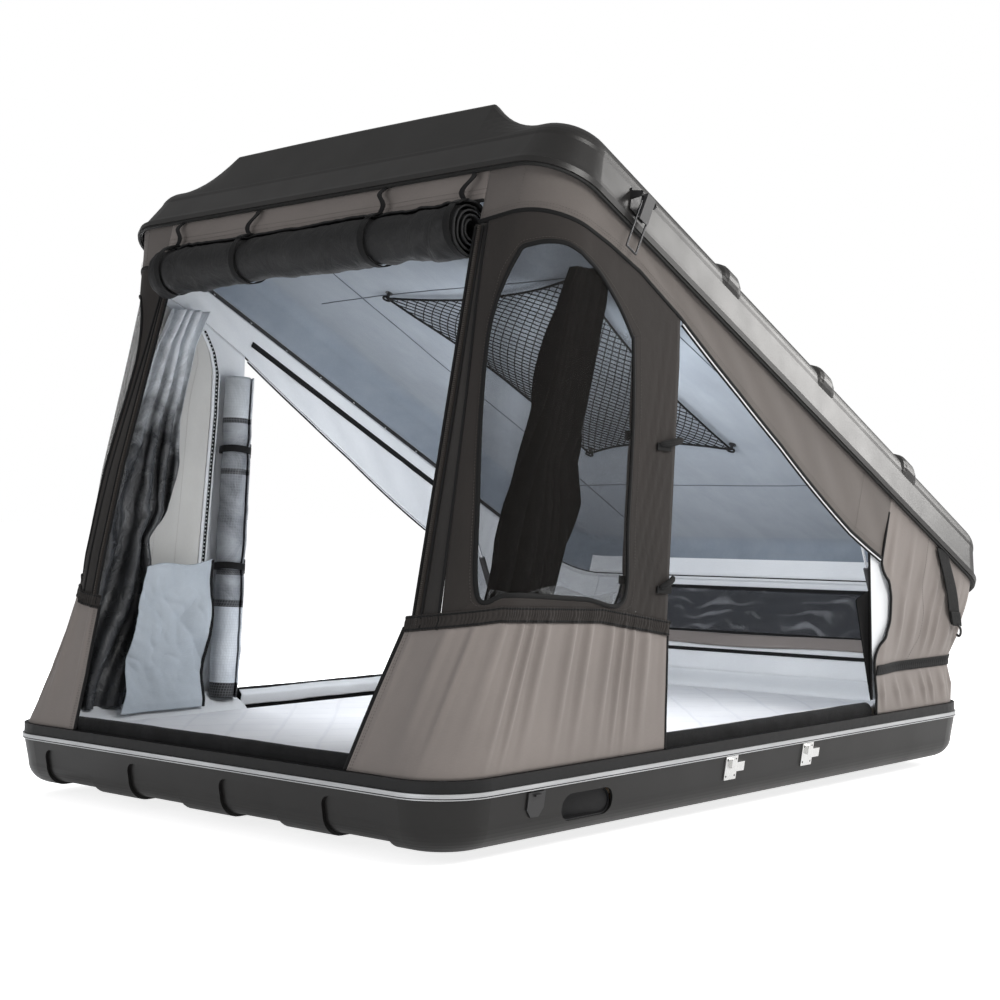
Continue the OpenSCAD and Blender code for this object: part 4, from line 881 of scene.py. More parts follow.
dress(SHELL, "lid_shell")
dress(SHADED_BASE_SHELL, "base_shell")
dress(STRIP, "trim_strip")
dress(RAIL, "canvas_rail")
dress(BOARD, "floor_board")
dress(BATTEN, "floor_battens")
dress(FOOT_RAIL, "mounting_rail_right", "mounting_rail_left")
dress(STEEL, "rail_bolts", "ladder_brackets", "strut_feet", "strut_heads")
dress(BLACK_METAL, "latch_keepers", "latch_plates", "strut_tube_right", "strut_tube_left", "net_hooks")
dress(LEVER_METAL, "latch_lever_right", "latch_lever_left")
dress(WIRE, "latch_bail_right", "latch_bail_left")
dress(ROD, "strut_rod_right", "strut_rod_left")
dress(GASKET, "lid_gasket")
dress(VENT, "vent_liners")
dress(RIM_BATTEN, "rim_batten")


# How soft pieces fold away when the lid comes down

def lid_way(y, z):
    c, s = math.cos(OPEN), math.sin(OPEN)
    return (0, y * c + z * s, -y * s + z * c)


def lid_spot(y, z):
    y, z = raised(y, z)
    return (0, y * MM, z * MM)


DOWN = dict(axis=(0, 0, 1), anchor=(0, 0, .1815), keep=.02)
BACK_DOWN = dict(axis=(0, .349, .937), anchor=(0, 1.0565, .1815), keep=.02)
COLUMN_DOWN = dict(axis=(0, .168, .986), anchor=(0, .74, .1815), keep=.02)
UP = dict(axis=lid_way(0, 1), anchor=lid_spot(0, HEAD), keep=.04)
STRAP_UP = dict(axis=lid_way(0, 1), anchor=lid_spot(0, 184.5), keep=.008)
ROLL_UP = dict(axis=lid_way(.259, .966), anchor=lid_spot(-1040, 222), keep=.1)


def settle(obj, body, slot, stands_for=(), fold=None, pad=None):
    """Tells what a piece rides on, its slot, the solids it stands for, how it folds and how full a pad is."""
    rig.ride(obj, body)
    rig.slot(obj, slot)
    if stands_for:
        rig.replaces(obj, *stands_for)
    if pad is not None:
        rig.padded(obj, pad)
    if fold:
        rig.squash(obj, "lid_close", **fold)


LEAST_FILL = .31
sheets = []


def cut_size(*grids):
    """Width, length and area of the flat cloth that these grids are made from.

    A cut with much less area than its rectangle is given the least share of it that a sheet may have."""
    width = length = area = 0.0
    for grid in grids:
        grid = np.asarray(grid)
        along = np.linalg.norm(np.diff(grid, axis=0), axis=-1).sum(0).max()
        across = np.linalg.norm(np.diff(grid, axis=1), axis=-1).sum(1).max()
        a, b = grid[1:, :-1] - grid[:-1, :-1], grid[:-1, 1:] - grid[:-1, :-1]
        area += np.linalg.norm(np.cross(a, b), axis=-1).sum()
        width, length = max(width, across), length + along
    width, length, area = width * MM, length * MM, area * MM * MM
    return width, length, min(max(area, LEAST_FILL * width * length), width * length)


def declare(obj, held, rests_on, *grids, with_pieces=()):
    width, length, area = cut_size(*grids)
    sheets.append((obj, (width, length), held, rests_on, area, list(with_pieces)))


# Geometry nodes for what repeats: a row of small shapes along seams, and cords along the lines of a net

def new_tree(name):
    tree = bpy.data.node_groups.new(name, "GeometryNodeTree")
    tree.interface.new_socket("Lines", in_out="INPUT", socket_type="NodeSocketGeometry")
    tree.interface.new_socket("Made", in_out="OUTPUT", socket_type="NodeSocketGeometry")
    return tree


def input_named(tree, name, kind, value):
    socket = tree.interface.new_socket(name, in_out="INPUT", socket_type=kind)
    if value is not None:
        socket.default_value = value
    return socket.identifier


def end_tree(tree, start, made):
    """Ends a tree: what it made as real geometry, in the finish that is put in."""
    add, link = tree.nodes.new, tree.links.new
    real, paint, end = add("GeometryNodeRealizeInstances"), add("GeometryNodeSetMaterial"), add("NodeGroupOutput")
    link(made, real.inputs[0])
    link(real.outputs[0], paint.inputs["Geometry"])
    link(start.outputs["Finish"], paint.inputs["Material"])
    link(paint.outputs[0], end.inputs[0])


def row_tree():
    """Small rounded shapes at even steps along lines, turned along them."""
    tree = new_tree("row_along_lines")
    ids = {"step": input_named(tree, "Step", "NodeSocketFloat", .008),
           "size": input_named(tree, "Size", "NodeSocketVector", (.005, .001, .001)),
           "finish": input_named(tree, "Finish", "NodeSocketMaterial", None)}
    add, link = tree.nodes.new, tree.links.new
    start, spread = add("NodeGroupInput"), add("GeometryNodeInstanceOnPoints")
    curve, steps = add("GeometryNodeMeshToCurve"), add("GeometryNodeResampleCurve")
    steps.mode = "LENGTH"
    bead, stretch = add("GeometryNodeMeshIcoSphere"), add("GeometryNodeTransform")
    bead.inputs["Radius"].default_value = .5
    bead.inputs["Subdivisions"].default_value = 1
    tangent, turn = add("GeometryNodeInputTangent"), add("FunctionNodeAlignRotationToVector")
    turn.axis = "X"
    link(start.outputs["Lines"], curve.inputs[0])
    link(curve.outputs[0], steps.inputs["Curve"])
    link(start.outputs["Step"], steps.inputs["Length"])
    link(bead.outputs["Mesh"], stretch.inputs["Geometry"])
    link(start.outputs["Size"], stretch.inputs["Scale"])
    link(tangent.outputs[0], turn.inputs["Vector"])
    link(steps.outputs[0], spread.inputs["Points"])
    link(stretch.outputs[0], spread.inputs["Instance"])
    link(turn.outputs[0], spread.inputs["Rotation"])
    end_tree(tree, start, spread.outputs[0])
    return tree, ids


def cord_tree():
    """Cords along every line of a mesh, with a knot at every crossing."""
    tree = new_tree("cords_along_lines")
    ids = {"radius": input_named(tree, "Radius", "NodeSocketFloat", .0015),
           "knot": input_named(tree, "Knot", "NodeSocketFloat", .002),
           "finish": input_named(tree, "Finish", "NodeSocketMaterial", None)}
    add, link = tree.nodes.new, tree.links.new
    start, join = add("NodeGroupInput"), add("GeometryNodeJoinGeometry")
    curve, tube = add("GeometryNodeMeshToCurve"), add("GeometryNodeCurveToMesh")
    profile = add("GeometryNodeCurvePrimitiveCircle")
    profile.inputs["Resolution"].default_value = 4
    bead, knots = add("GeometryNodeMeshIcoSphere"), add("GeometryNodeInstanceOnPoints")
    bead.inputs["Subdivisions"].default_value = 1
    link(start.outputs["Lines"], curve.inputs[0])
    link(curve.outputs[0], tube.inputs["Curve"])
    link(start.outputs["Radius"], profile.inputs["Radius"])
    link(profile.outputs[0], tube.inputs["Profile Curve"])
    link(start.outputs["Knot"], bead.inputs["Radius"])
    link(start.outputs["Lines"], knots.inputs["Points"])
    link(bead.outputs["Mesh"], knots.inputs["Instance"])
    link(tube.outputs[0], join.inputs[0])
    link(knots.outputs[0], join.inputs[0])
    end_tree(tree, start, join.outputs[0])
    return tree, ids


ROW, CORDS = row_tree(), cord_tree()


def grown(name, points, edges, tree, finish, **values):
    """Runs a node tree on a set of lines and keeps the result as a plain mesh."""
    group, ids = tree
    base = bpy.data.meshes.new(name + "_lines")
    base.from_pydata((np.asarray(points) * MM).tolist(), edges, [])
    maker = bpy.data.objects.new(name + "_lines", base)
    scene.collection.objects.link(maker)
    change = maker.modifiers.new("grow", "NODES")
    change.node_group = group
    change[ids["finish"]] = finish
    for key, value in values.items():
        change[ids[key]] = value
    bpy.context.view_layer.update()
    mesh = bpy.data.meshes.new_from_object(maker.evaluated_get(bpy.context.evaluated_depsgraph_get()))
    bpy.data.objects.remove(maker)
    mesh.name = name
    if not mesh.materials:
        mesh.materials.append(finish)
    obj = bpy.data.objects.new(name, mesh)
    scene.collection.objects.link(obj)
    return obj


def row_along(name, paths, finish, step, size):
    """A row of stitches, teeth or rivets along one or more lines; sizes in millimetres."""
    points, edges, start = [], [], 0
    for path in paths:
        path = np.asarray(path, float)
        points.append(path)
        edges += [(start + i, start + i + 1) for i in range(len(path) - 1)]
        start += len(path)
    obj = grown(name, np.concatenate(points), edges, ROW, finish, step=step * MM, size=tuple(s * MM for s in size))
    for face in obj.data.polygons:
        face.use_smooth = True
    return obj


# Canvas between tub and lid

def resample(line, count, smooth=False):
    """Evenly numbered points between the stations of a closed line of pairs."""
    line = np.vstack([line, line[:1]])
    last = len(line) - 1
    k = np.linspace(0, last, count * last + 1)[:-1]
    if not smooth:
        return np.stack([np.interp(k, np.arange(last + 1), line[:, c]) for c in (0, 1)], -1)
    i = k.astype(int)
    t = (k - i)[:, None]
    p1, p2 = line[i], line[i + 1]
    before, after = line[np.where(i == 0, last - 1, i - 1)], line[np.where(i + 2 > last, 1, i + 2)]
    m1, m2 = (p2 - before) * .5, (after - p1) * .5
    return ((2 * t ** 3 - 3 * t ** 2 + 1) * p1 + (t ** 3 - 2 * t ** 2 + t) * m1
            + (-2 * t ** 3 + 3 * t ** 2) * p2 + (t ** 3 - t ** 2) * m2)


def edging(path, normal, width, thick, finish=0):
    """Folded tape sewn over a cloth edge."""
    return tube_part(path, width / 2, 8, normal, thick / width, finish=finish)


def panel_gathers(t, k):
    """Waves of the gathered lower panel, a little freer towards its foot."""
    beat = 14 * t + .30 * np.sin(14 * t + 1.2) + .16 * np.sin(31 * t) + .12 * (1 - k) * np.sin(9 * t)
    return .72 * np.cos(2 * np.pi * beat) + .28 * np.cos(4 * np.pi * beat + .7)


def lower_panel(side):
    tag = SIDE_NAME[side]
    zip_head, door_head = ZIP_FOOT + ZIP_LEAN, DOOR_U - PANEL_LEAN
    t, k = np.meshgrid(np.linspace(0, 1, 421), np.linspace(0, 1, 45), indexing="ij")
    u = mix(mix(ZIP_FOOT, DOOR_U, t), mix(zip_head, door_head, t), k)
    v = share_at(u, panel_top(u)) * k
    fold = panel_gathers(t, k)
    rise = np.interp(k, [0, .12, .35, .68, .9, 1], [.06, .22, .6, 1, 1, .5])
    out = np.where(fold > 0, 6.2, 4.0) * fold * rise * ease(t * 14) * ease((1 - t) * 14)
    out += 1.2 * crumple(u * .02, k * 6, 5) * np.sin(np.pi * k) + 2.5 * ease(1 - t * 6) * np.sin(np.pi * k)
    grid = wall_at(u, v, out, side)
    panel = build("lower_panel_cloth_" + tag, [sheet_part(grid, 2.6, outward(u, side))], [CANVAS, LINING])
    # gathered dark band along the top, drawn in by two lines of elastic
    i, levels = np.meshgrid(np.linspace(0, 1, 1101), np.linspace(0, 1, 9), indexing="ij")
    band_u = mix(zip_head, door_head, i)
    band_h = panel_top(band_u) + mix(-10, 24, levels)
    under = np.clip(3.2 * panel_gathers(i, 1), -1.5, 3.2)
    ruck = 1.5 * np.cos(2 * np.pi * (95 * i + .5 * np.sin(60 * i) + .2 * np.sin(9 * levels)))
    ruck = ruck * np.interp(levels, [0, .12, .5, .88, 1], [.5, .3, 1, .3, .7])
    band = wall_at(band_u, share_at(band_u, band_h), 3.4 + under * (1 - levels) + ruck, side)
    ruffle = build("lower_panel_band_" + tag, [sheet_part(band, 1.8, outward(band_u, side), back=0)], [WINDOW])
    settle(ruffle, "base", "window", (), DOWN)
    parts = []
    for row in (1, 7):
        way = outward(band_u[:, row], side)
        parts.append(edging(band[:, row] + way, way, 4.0, 3.0))
    # bound front and rear edges
    for row, width in ((0, 13), (-1, 8)):
        way = outward(u[row], side)
        parts.append(edging(grid[row] + way * .4, way, width, 6))
    trim = build("lower_panel_edging_" + tag, parts, [BLACK])
    k = np.linspace(.02, .97, 40)
    zip_u = mix(ZIP_FOOT, zip_head, k)
    seam = [wall_at(zip_u + d, share_at(zip_u + d, panel_top(zip_u) * k), 3.6, side) for d in (13, 19)]
    sewn = row_along("lower_panel_stitches_" + tag, seam, THREAD_DARK, **STITCH)
    settle(panel, "base", "canvas", ["lower_panel_" + tag], DOWN)
    settle(trim, "base", "black_cloth", (), DOWN)
    settle(sewn, "base", "canvas", (), DOWN)
    declare(panel, "gathered", ["canvas_rail"], grid, with_pieces=[ruffle, trim, sewn])


def front_post(side):
    tag = SIDE_NAME[side]
    k, j = np.meshgrid(np.linspace(0, 1, 90), np.linspace(0, 1, 17), indexing="ij")
    v = mix(.232, .897, k)
    u = mix(post_inner(v), post_outer(v) - .6, j)
    out = 1.4 * np.sin(j * 2 * np.pi * 1.5 + k * 2) * np.sin(np.pi * j) + 1.0 * crumple(k * 7, j * 3, 11)
    grid = wall_at(u, v, out, side)
    post = build("front_post_cloth_" + tag, [sheet_part(grid, CLOTH_T, outward(u, side))], [POST, POST])
    # zip and its tapes along the inner edge, binding along the outer one
    v = np.linspace(.228, .893, 140)
    inner, outer = post_inner(v), post_outer(v) - 3
    parts = []
    for shift, width, finish in ((2, 9, 0), (14, 15, 1), (25, 7, 0)):
        line = wall_at(inner + shift, v, 2.2, side)
        parts.append(edging(line, outward(inner + shift, side), width, 4.5, finish))
    parts.append(edging(wall_at(outer, v, 1.5, side), outward(outer, side), 8, 5))
    trim = build("front_post_zip_" + tag, parts, [BLACK, ZIP])
    lines = [wall_at(inner + d, v, 4.8, side) for d in (12.5, 15.5)]
    teeth = row_along("front_post_zip_teeth_" + tag, lines, THREAD_DARK, 4.4, (2.2, 3.4, 1.6))
    settle(post, "base", "window", ["front_post_" + tag], DOWN)
    settle(trim, "base", "black_cloth", (), DOWN)
    settle(teeth, "base", "black_cloth", (), DOWN)
    declare(post, "stretched", ["canvas_rail"], grid, with_pieces=[trim, teeth])


def window(side):
    tag = SIDE_NAME[side]
    inner = resample(WINDOW_EDGE, 16, smooth=True)
    if side < 0:
        u, v = inner.T
        wider = ease((130 - u) / 60) * ease((v - .27) / .1) * (1 - ease((v - .80) / .07))
        inner[:, 0] = u - 24 * wider
    outer = resample(panel_edge(), 16)
    j = np.linspace(0, 1, 15)
    u, v = (inner[:, None, c] + (outer[:, None, c] - inner[:, None, c]) * j for c in (0, 1))
    across = np.sin(np.pi * j)[None]
    pleat = np.cos(2 * np.pi * (u / 31 + .5 * np.sin(v * 7))) * ease((u - 470) / 90) * across
    grid = wall_at(u, v, 2.8 * pleat + crumple(u * .03, v * 14, 21) * across, side)
    cloth = sheet_part(grid, CLOTH_T, outward(u, side), loop=True)
    panel = build("window_panel_cloth_" + tag, [cloth], [WINDOW, LINING])
    rim = wall_at(inner[:, 0], inner[:, 1], 1.2, side)
    piping = tube_part(rim, 5.5, 8, outward(inner[:, 0], side), .6, closed=True)
    trim = build("window_panel_piping_" + tag, [piping], [BLACK])
    seam = inner + (outer - inner) * .16
    seam = np.vstack([seam, seam[:1]])
    sewn = row_along("window_panel_stitches_" + tag, [wall_at(seam[:, 0], seam[:, 1], 2.4, side)],
                     THREAD_DARK, 7, (4.5, 1.0, 1.0))
    # screen, as rings that close in on the middle of the opening
    middle, wall_h = np.array([268, .58]), 1180.0
    share = np.linspace(.002, .996, 22)
    at = middle + (inner[:, None] - middle) * share[None, :, None]
    sag = -2.5 * (1 - share[None] ** 2) + .8 * crumple(at[..., 0] * .02, at[..., 1] * 9, 33)
    net = wall_at(at[..., 0], at[..., 1], sag, side)
    points, faces, _, which = sheet_part(net, .9, outward(at[..., 0], side), back=0, loop=True)
    flat = np.concatenate([at.reshape(-1, 2)] * 2) * np.array([1.0, wall_h]) * MM
    screen = build("window_screen_mesh_" + tag, [(points, faces, flat, which)], [SCREEN])
    settle(panel, "base", "window", ["window_panel_" + tag], DOWN)
    settle(trim, "base", "black_cloth", (), DOWN)
    settle(sewn, "base", "window", (), DOWN)
    settle(screen, "base", "screen", ["window_screen_" + tag], DOWN)
    declare(panel, "stretched", ["lower_panel_" + tag], np.concatenate([grid, grid[:1]]), with_pieces=[trim, sewn])
    declare(screen, "stretched", ["window_panel_" + tag], np.concatenate([net, net[:1]]))


def upper_strip(side):
    tag = SIDE_NAME[side]
    u1 = np.concatenate([np.linspace(STRIP_FRONT, STRIP_END - 70, 300), np.linspace(STRIP_END - 66, STRIP_END, 24)])
    u, k = np.meshgrid(u1, np.linspace(0, 1, 22), indexing="ij")
    v = mix(strip_edge(u), 1, k)
    drag = np.sin(2 * np.pi * (u / 210 + 1.1 * k)) * np.sin(np.pi * k) * ease((u - 150) / 200)
    out = 1.6 * drag + 1.2 * crumple(u * .012, k * 3, 41) * np.sin(np.pi * k) - 1.5 * np.sin(np.pi * k)
    grid = wall_at(u, v, out, side)
    # the strip's canvas carries painted shade of the lid's overhang
    strip = build("upper_strip_cloth_" + tag, [sheet_part(grid, CLOTH_T, outward(u, side))], [SHADED_STRIP_CANVAS, LINING])
    # bound lower edge; above the door also a white piping, its tape and the tape along the lid's rim
    edge = np.concatenate([np.linspace(STRIP_FRONT, STRIP_END - 60, 260),
                           np.linspace(STRIP_END - 58, STRIP_END - 2, 20)])
    line = wall_at(edge, strip_edge(edge) + share_at(edge, 5.0) * .2, 1.6, side)
    parts = [edging(line, outward(edge, side), 10, 5)]
    door = edge[edge > 575]
    for top, below, out, width, thick, finish in (
            (strip_edge(door), 4, -.5, 6, 5, 1), (strip_edge(door), 8, -1.5, 5, 5, 0), (1, 48, -4.2, 17, 4, 0)):
        line = wall_at(door, top - share_at(door, below), out, side)
        parts.append(edging(line, outward(door, side), width, thick, finish))
    trim = build("upper_strip_edging_" + tag, parts, [BLACK, LINING])
    lines = [wall_at(edge, strip_edge(edge) + share_at(edge, d), 2.6, side) for d in (13, 19)]
    lines.append(wall_at(np.full(30, 20.0), np.linspace(.925, .99, 30), 2.6, side))
    lines.append(wall_at(np.full(40, 1440.0), np.linspace(.74, .985, 40), 2.6, side))
    sewn = row_along("upper_strip_stitches_" + tag, lines, THREAD_DARK, **STITCH)
    settle(strip, "lid", "canvas", ["upper_strip_" + tag], UP)
    settle(trim, "lid", "black_cloth", (), UP)
    settle(sewn, "lid", "canvas", (), UP)
    declare(strip, "stretched", ["lid_shell"], grid, with_pieces=[trim, sewn])


def tuck(u, v):
    """How far the rear wall's head is tucked in under the lid's rim."""
    return -REAR_TUCK * v * np.clip(rim_at(u)[3], 0, 1)


def column_grid(t, k, side):
    """Rear column: gathers that the waist band draws in, fuller above and below it."""
    mid_u = mix(column_front(.3), REAR_START, t)
    low, high = share_at(mid_u, WAIST_H - BAND_W / 2), share_at(mid_u, WAIST_H + BAND_W / 2)
    band, above = mix(low, high, (k - .3) / .1), mix(high, 1, (k - .4) / .6)
    v = np.where(k < .3, low * k / .3, np.where(k < .4, band, above))
    u = mix(column_front(v) + door_curve(v), REAR_START - .3, t)
    t = (u - column_front(v)) / (REAR_START - .3 - column_front(v))
    beat = 9 * t + .22 * np.sin(11 * t + .5) + .1 * np.sin(25 * t)
    fold = .75 * np.cos(2 * np.pi * beat) + .25 * np.cos(4 * np.pi * beat + .4)
    size = np.interp(k, [0, .15, .3, .4, .55, .75, 1], [.05, 1, .1, .1, 1, .65, 0])
    swell = np.interp(k, [0, .15, .3, .4, .6, .85, 1], [0, 3.5, 0, 0, 4, 2, 0])
    out = np.where(fold > 0, 6.0, 4.0) * fold * size + swell * np.sin(np.pi * np.clip(t, .04, .96)) + tuck(u, v)
    return u, v, wall_at(u, v, out, side)


def rear_column(side):
    tag = SIDE_NAME[side]
    cut = float((SIDE_END - column_front(.3)) / (REAR_START - column_front(.3)))
    pieces = []
    for name, ts, fold in (("rear_column_cloth_", np.linspace(0, cut, 150), COLUMN_DOWN),
                           ("rear_corner_cloth_", np.linspace(cut, 1, 110), BACK_DOWN)):
        t, k = np.meshgrid(ts, np.linspace(0, 1, 61), indexing="ij")
        u, v, grid = column_grid(t, k, side)
        cloth = build(name + tag, [sheet_part(grid, CLOTH_T, outward(u, side))], [CANVAS, LINING])
        settle(cloth, "base", "canvas", ["rear_column_" + tag], fold)
        pieces.append((cloth, grid))
    u, v, edge = column_grid(np.zeros(80), np.linspace(0, .93, 80), side)
    parts = [edging(edge, outward(u, side), 9, 6)]
    # white lining in the corner between the curved edge and the door
    v, k = np.meshgrid(np.linspace(.07, .715, 90), np.linspace(0, 1, 22), indexing="ij")
    u = mix(door_line(v), column_front(v) + door_curve(v) + 46, k)
    behind = wall_at(u, v, -8.5 - 1.5 * np.sin(np.pi * k) + .8 * crumple(u * .02, v * 9, 57), side)
    lining = build("door_edge_lining_" + tag, [sheet_part(behind, 1.8, outward(u, side), back=0)], [LINING])
    settle(lining, "base", "canvas", (), COLUMN_DOWN)
    declare(lining, "stretched", ["rear_column_" + tag], behind)
    parts.append(edging(behind[:, 0], outward(u[:, 0], side), 8, 6))
    trim = build("rear_column_edging_" + tag, parts, [BLACK])
    settle(trim, "base", "black_cloth", (), COLUMN_DOWN)
    u, v, line = column_grid(np.full(70, .34), np.linspace(.41, .97, 70), side)
    seam = line + outward(u, side) * 1.8
    sewn = row_along("rear_column_stitches_" + tag, [seam], THREAD_DARK, **STITCH)
    settle(sewn, "base", "canvas", (), COLUMN_DOWN)
    (column, column_cut), (corner, corner_cut) = pieces
    declare(column, "gathered", ["canvas_rail"], column_cut, with_pieces=[trim, sewn])
    declare(corner, "gathered", ["canvas_rail"], corner_cut)


def rear_wall():
    u, v = np.meshgrid(np.linspace(REAR_START + .3, REAR_FINISH - .3, 160), np.linspace(0, 1, 40), indexing="ij")
    billow = np.sin(np.pi * (u - REAR_START) / (2 * RUN_X))
    out = tuck(u, v) + 2.0 * crumple(u * .006, v * 4, 61) * np.sin(np.pi * v) + 3 * billow * np.sin(np.pi * v)
    grid = wall_at(u, v, out)
    cloth = build("rear_wall_cloth", [sheet_part(grid, CLOTH_T, outward(u))], [CANVAS, LINING])
    u = np.linspace(REAR_START + 8, REAR_FINISH - 8, 160)
    lines = [wall_at(u, share_at(u, h), tuck(u, share_at(u, h)) + 4.6) for h in (40, 46, 262, 268)]
    sewn = row_along("rear_wall_stitches", lines, THREAD_DARK, **STITCH)
    settle(cloth, "base", "canvas", ["rear_wall"], BACK_DOWN)
    settle(sewn, "base", "canvas", (), BACK_DOWN)
    declare(cloth, "stretched", ["canvas_rail"], grid, with_pieces=[sewn])


def rear_pocket():
    """Mesh pocket inside the rear wall, with bound edges and a canvas hem below it."""
    middle, length = (REAR_START + REAR_FINISH) / 2, 1100
    i, k = np.meshgrid(np.linspace(0, 1, 120), np.linspace(0, 1, 24), indexing="ij")
    u = middle + length * (i - .5)
    v = share_at(u, mix(147, 285, k))
    sag = 1 - 4 * (i - .5) ** 2
    net = wall_at(u, v, tuck(u, v) - 3.6 - 7 * sag * k - 1.2 * (1 + crumple(i * 30, k * 3, 63)) * k)
    pocket = build("rear_pocket_mesh", [sheet_part(net, 1.2, outward(u), back=0)], [FINE_MESH])
    parts = [edging(net[:, -1], -outward(u[:, -1]), 14, 5), edging(net[:, 0], -outward(u[:, 0]), 14, 4),
             edging(net[0], -outward(u[0]), 12, 4), edging(net[-1], -outward(u[-1]), 12, 4)]
    u = np.linspace(middle - 640, middle + 640, 120)
    parts.append(edging(wall_at(u, share_at(u, 92), -5), -outward(u), 11, 4))
    trim = build("rear_pocket_edging", parts, [BLACK])
    i, k = np.meshgrid(np.linspace(0, 1, 120), np.linspace(0, 1, 6), indexing="ij")
    u = middle + length * (i - .5)
    v = share_at(u, mix(110, 149, k) + 4 * np.sin(i * 9))
    hem = wall_at(u, v, tuck(u, v) - 4.2 - 1.5 * np.sin(np.pi * k) - 1.0 * crumple(i * 14, k, 64))
    below = build("rear_pocket_hem", [sheet_part(hem, 2.0, outward(u), back=0)], [CANVAS])
    settle(below, "base", "canvas", ["rear_pocket"], BACK_DOWN)
    declare(below, "stretched", ["rear_wall"], hem)
    settle(pocket, "base", "screen", ["rear_pocket"], BACK_DOWN)
    settle(trim, "base", "black_cloth", (), BACK_DOWN)
    declare(pocket, "stretched", ["rear_wall"], net, with_pieces=[trim])


def waist_band():
    def band(name, us, fold, side):
        u, k = np.meshgrid(us, np.linspace(0, 1, 7), indexing="ij")
        v = share_at(u, mix(WAIST_H - BAND_W / 2, WAIST_H + BAND_W / 2, k))
        grid = wall_at(u, v, tuck(u, v) + 4.1 + .8 * np.cos(u * .55) * np.sin(np.pi * k), side)
        cloth = build(name, [sheet_part(grid, 2.2, outward(u, side), back=0)], [BLACK])
        settle(cloth, "base", "black_cloth", ["waist_band"], fold)
        declare(cloth, "stretched", ["rear_wall"], grid)

    band("waist_band_rear", np.linspace(SIDE_END, REAR_START + REAR_FINISH - SIDE_END, 420), BACK_DOWN, 1)
    for side, tag in SIDES:
        band("waist_band_" + tag, np.linspace(DOOR_REAR_U - 40, SIDE_END, 130), COLUMN_DOWN, side)


def front_valance():
    us = np.linspace(-2 * RUN_X - STRIP_FRONT + .6, STRIP_FRONT - .6, 220)
    u, k = np.meshgrid(us, np.linspace(0, 1, 16), indexing="ij")
    v = mix(.938, 1, k)
    # along the front the rim runs straight, so its places come from the distance to the middle
    x = RUN_X + u
    y0 = np.full_like(x, -HALF_L + CANVAS_IN)
    head = raised(y0, HEAD)
    sag = 2.2 * np.sin(np.pi * k) * np.sin(x * .02) + 1.4 * crumple(x * .012, k * 3, 71) * np.sin(np.pi * k)
    grid = np.stack([x, y0 + (head[0] - y0) * v - sag, FOOT + (head[1] - FOOT) * v], -1)
    ahead = (0, -1, 0)
    cloth = build("front_valance_cloth", [sheet_part(grid, CLOTH_T, ahead)], [CANVAS, LINING])
    low, high = grid[:, 0] + np.array([0, -1.4, 0]), grid[:, -2] + np.array([0, -2.0, -3])
    trim = build("front_valance_edging", [edging(low, ahead, 9, 5), edging(high, ahead, 12, 4)], [BLACK])
    lines = [grid[:, row] + np.array([0, -1.9, 0]) for row in (3, 5)]
    sewn = row_along("front_valance_stitches", lines, THREAD_DARK, **STITCH)
    settle(cloth, "lid", "canvas", ["front_valance"], UP)
    settle(trim, "lid", "black_cloth", (), UP)
    settle(sewn, "lid", "canvas", (), UP)
    declare(cloth, "hung", ["lid_shell"], grid, with_pieces=[trim, sewn])


# Rolled doors

def spiral(r, start, pitch, steps, turn):
    """Radius and angle along a rolled cloth, from about its start out to its outer turn."""
    turns = int((r - start) / pitch)
    a = np.linspace(0, turns * 2 * np.pi, turns * steps + 1)
    return r - turns * pitch + pitch * a / (2 * np.pi), a + turn


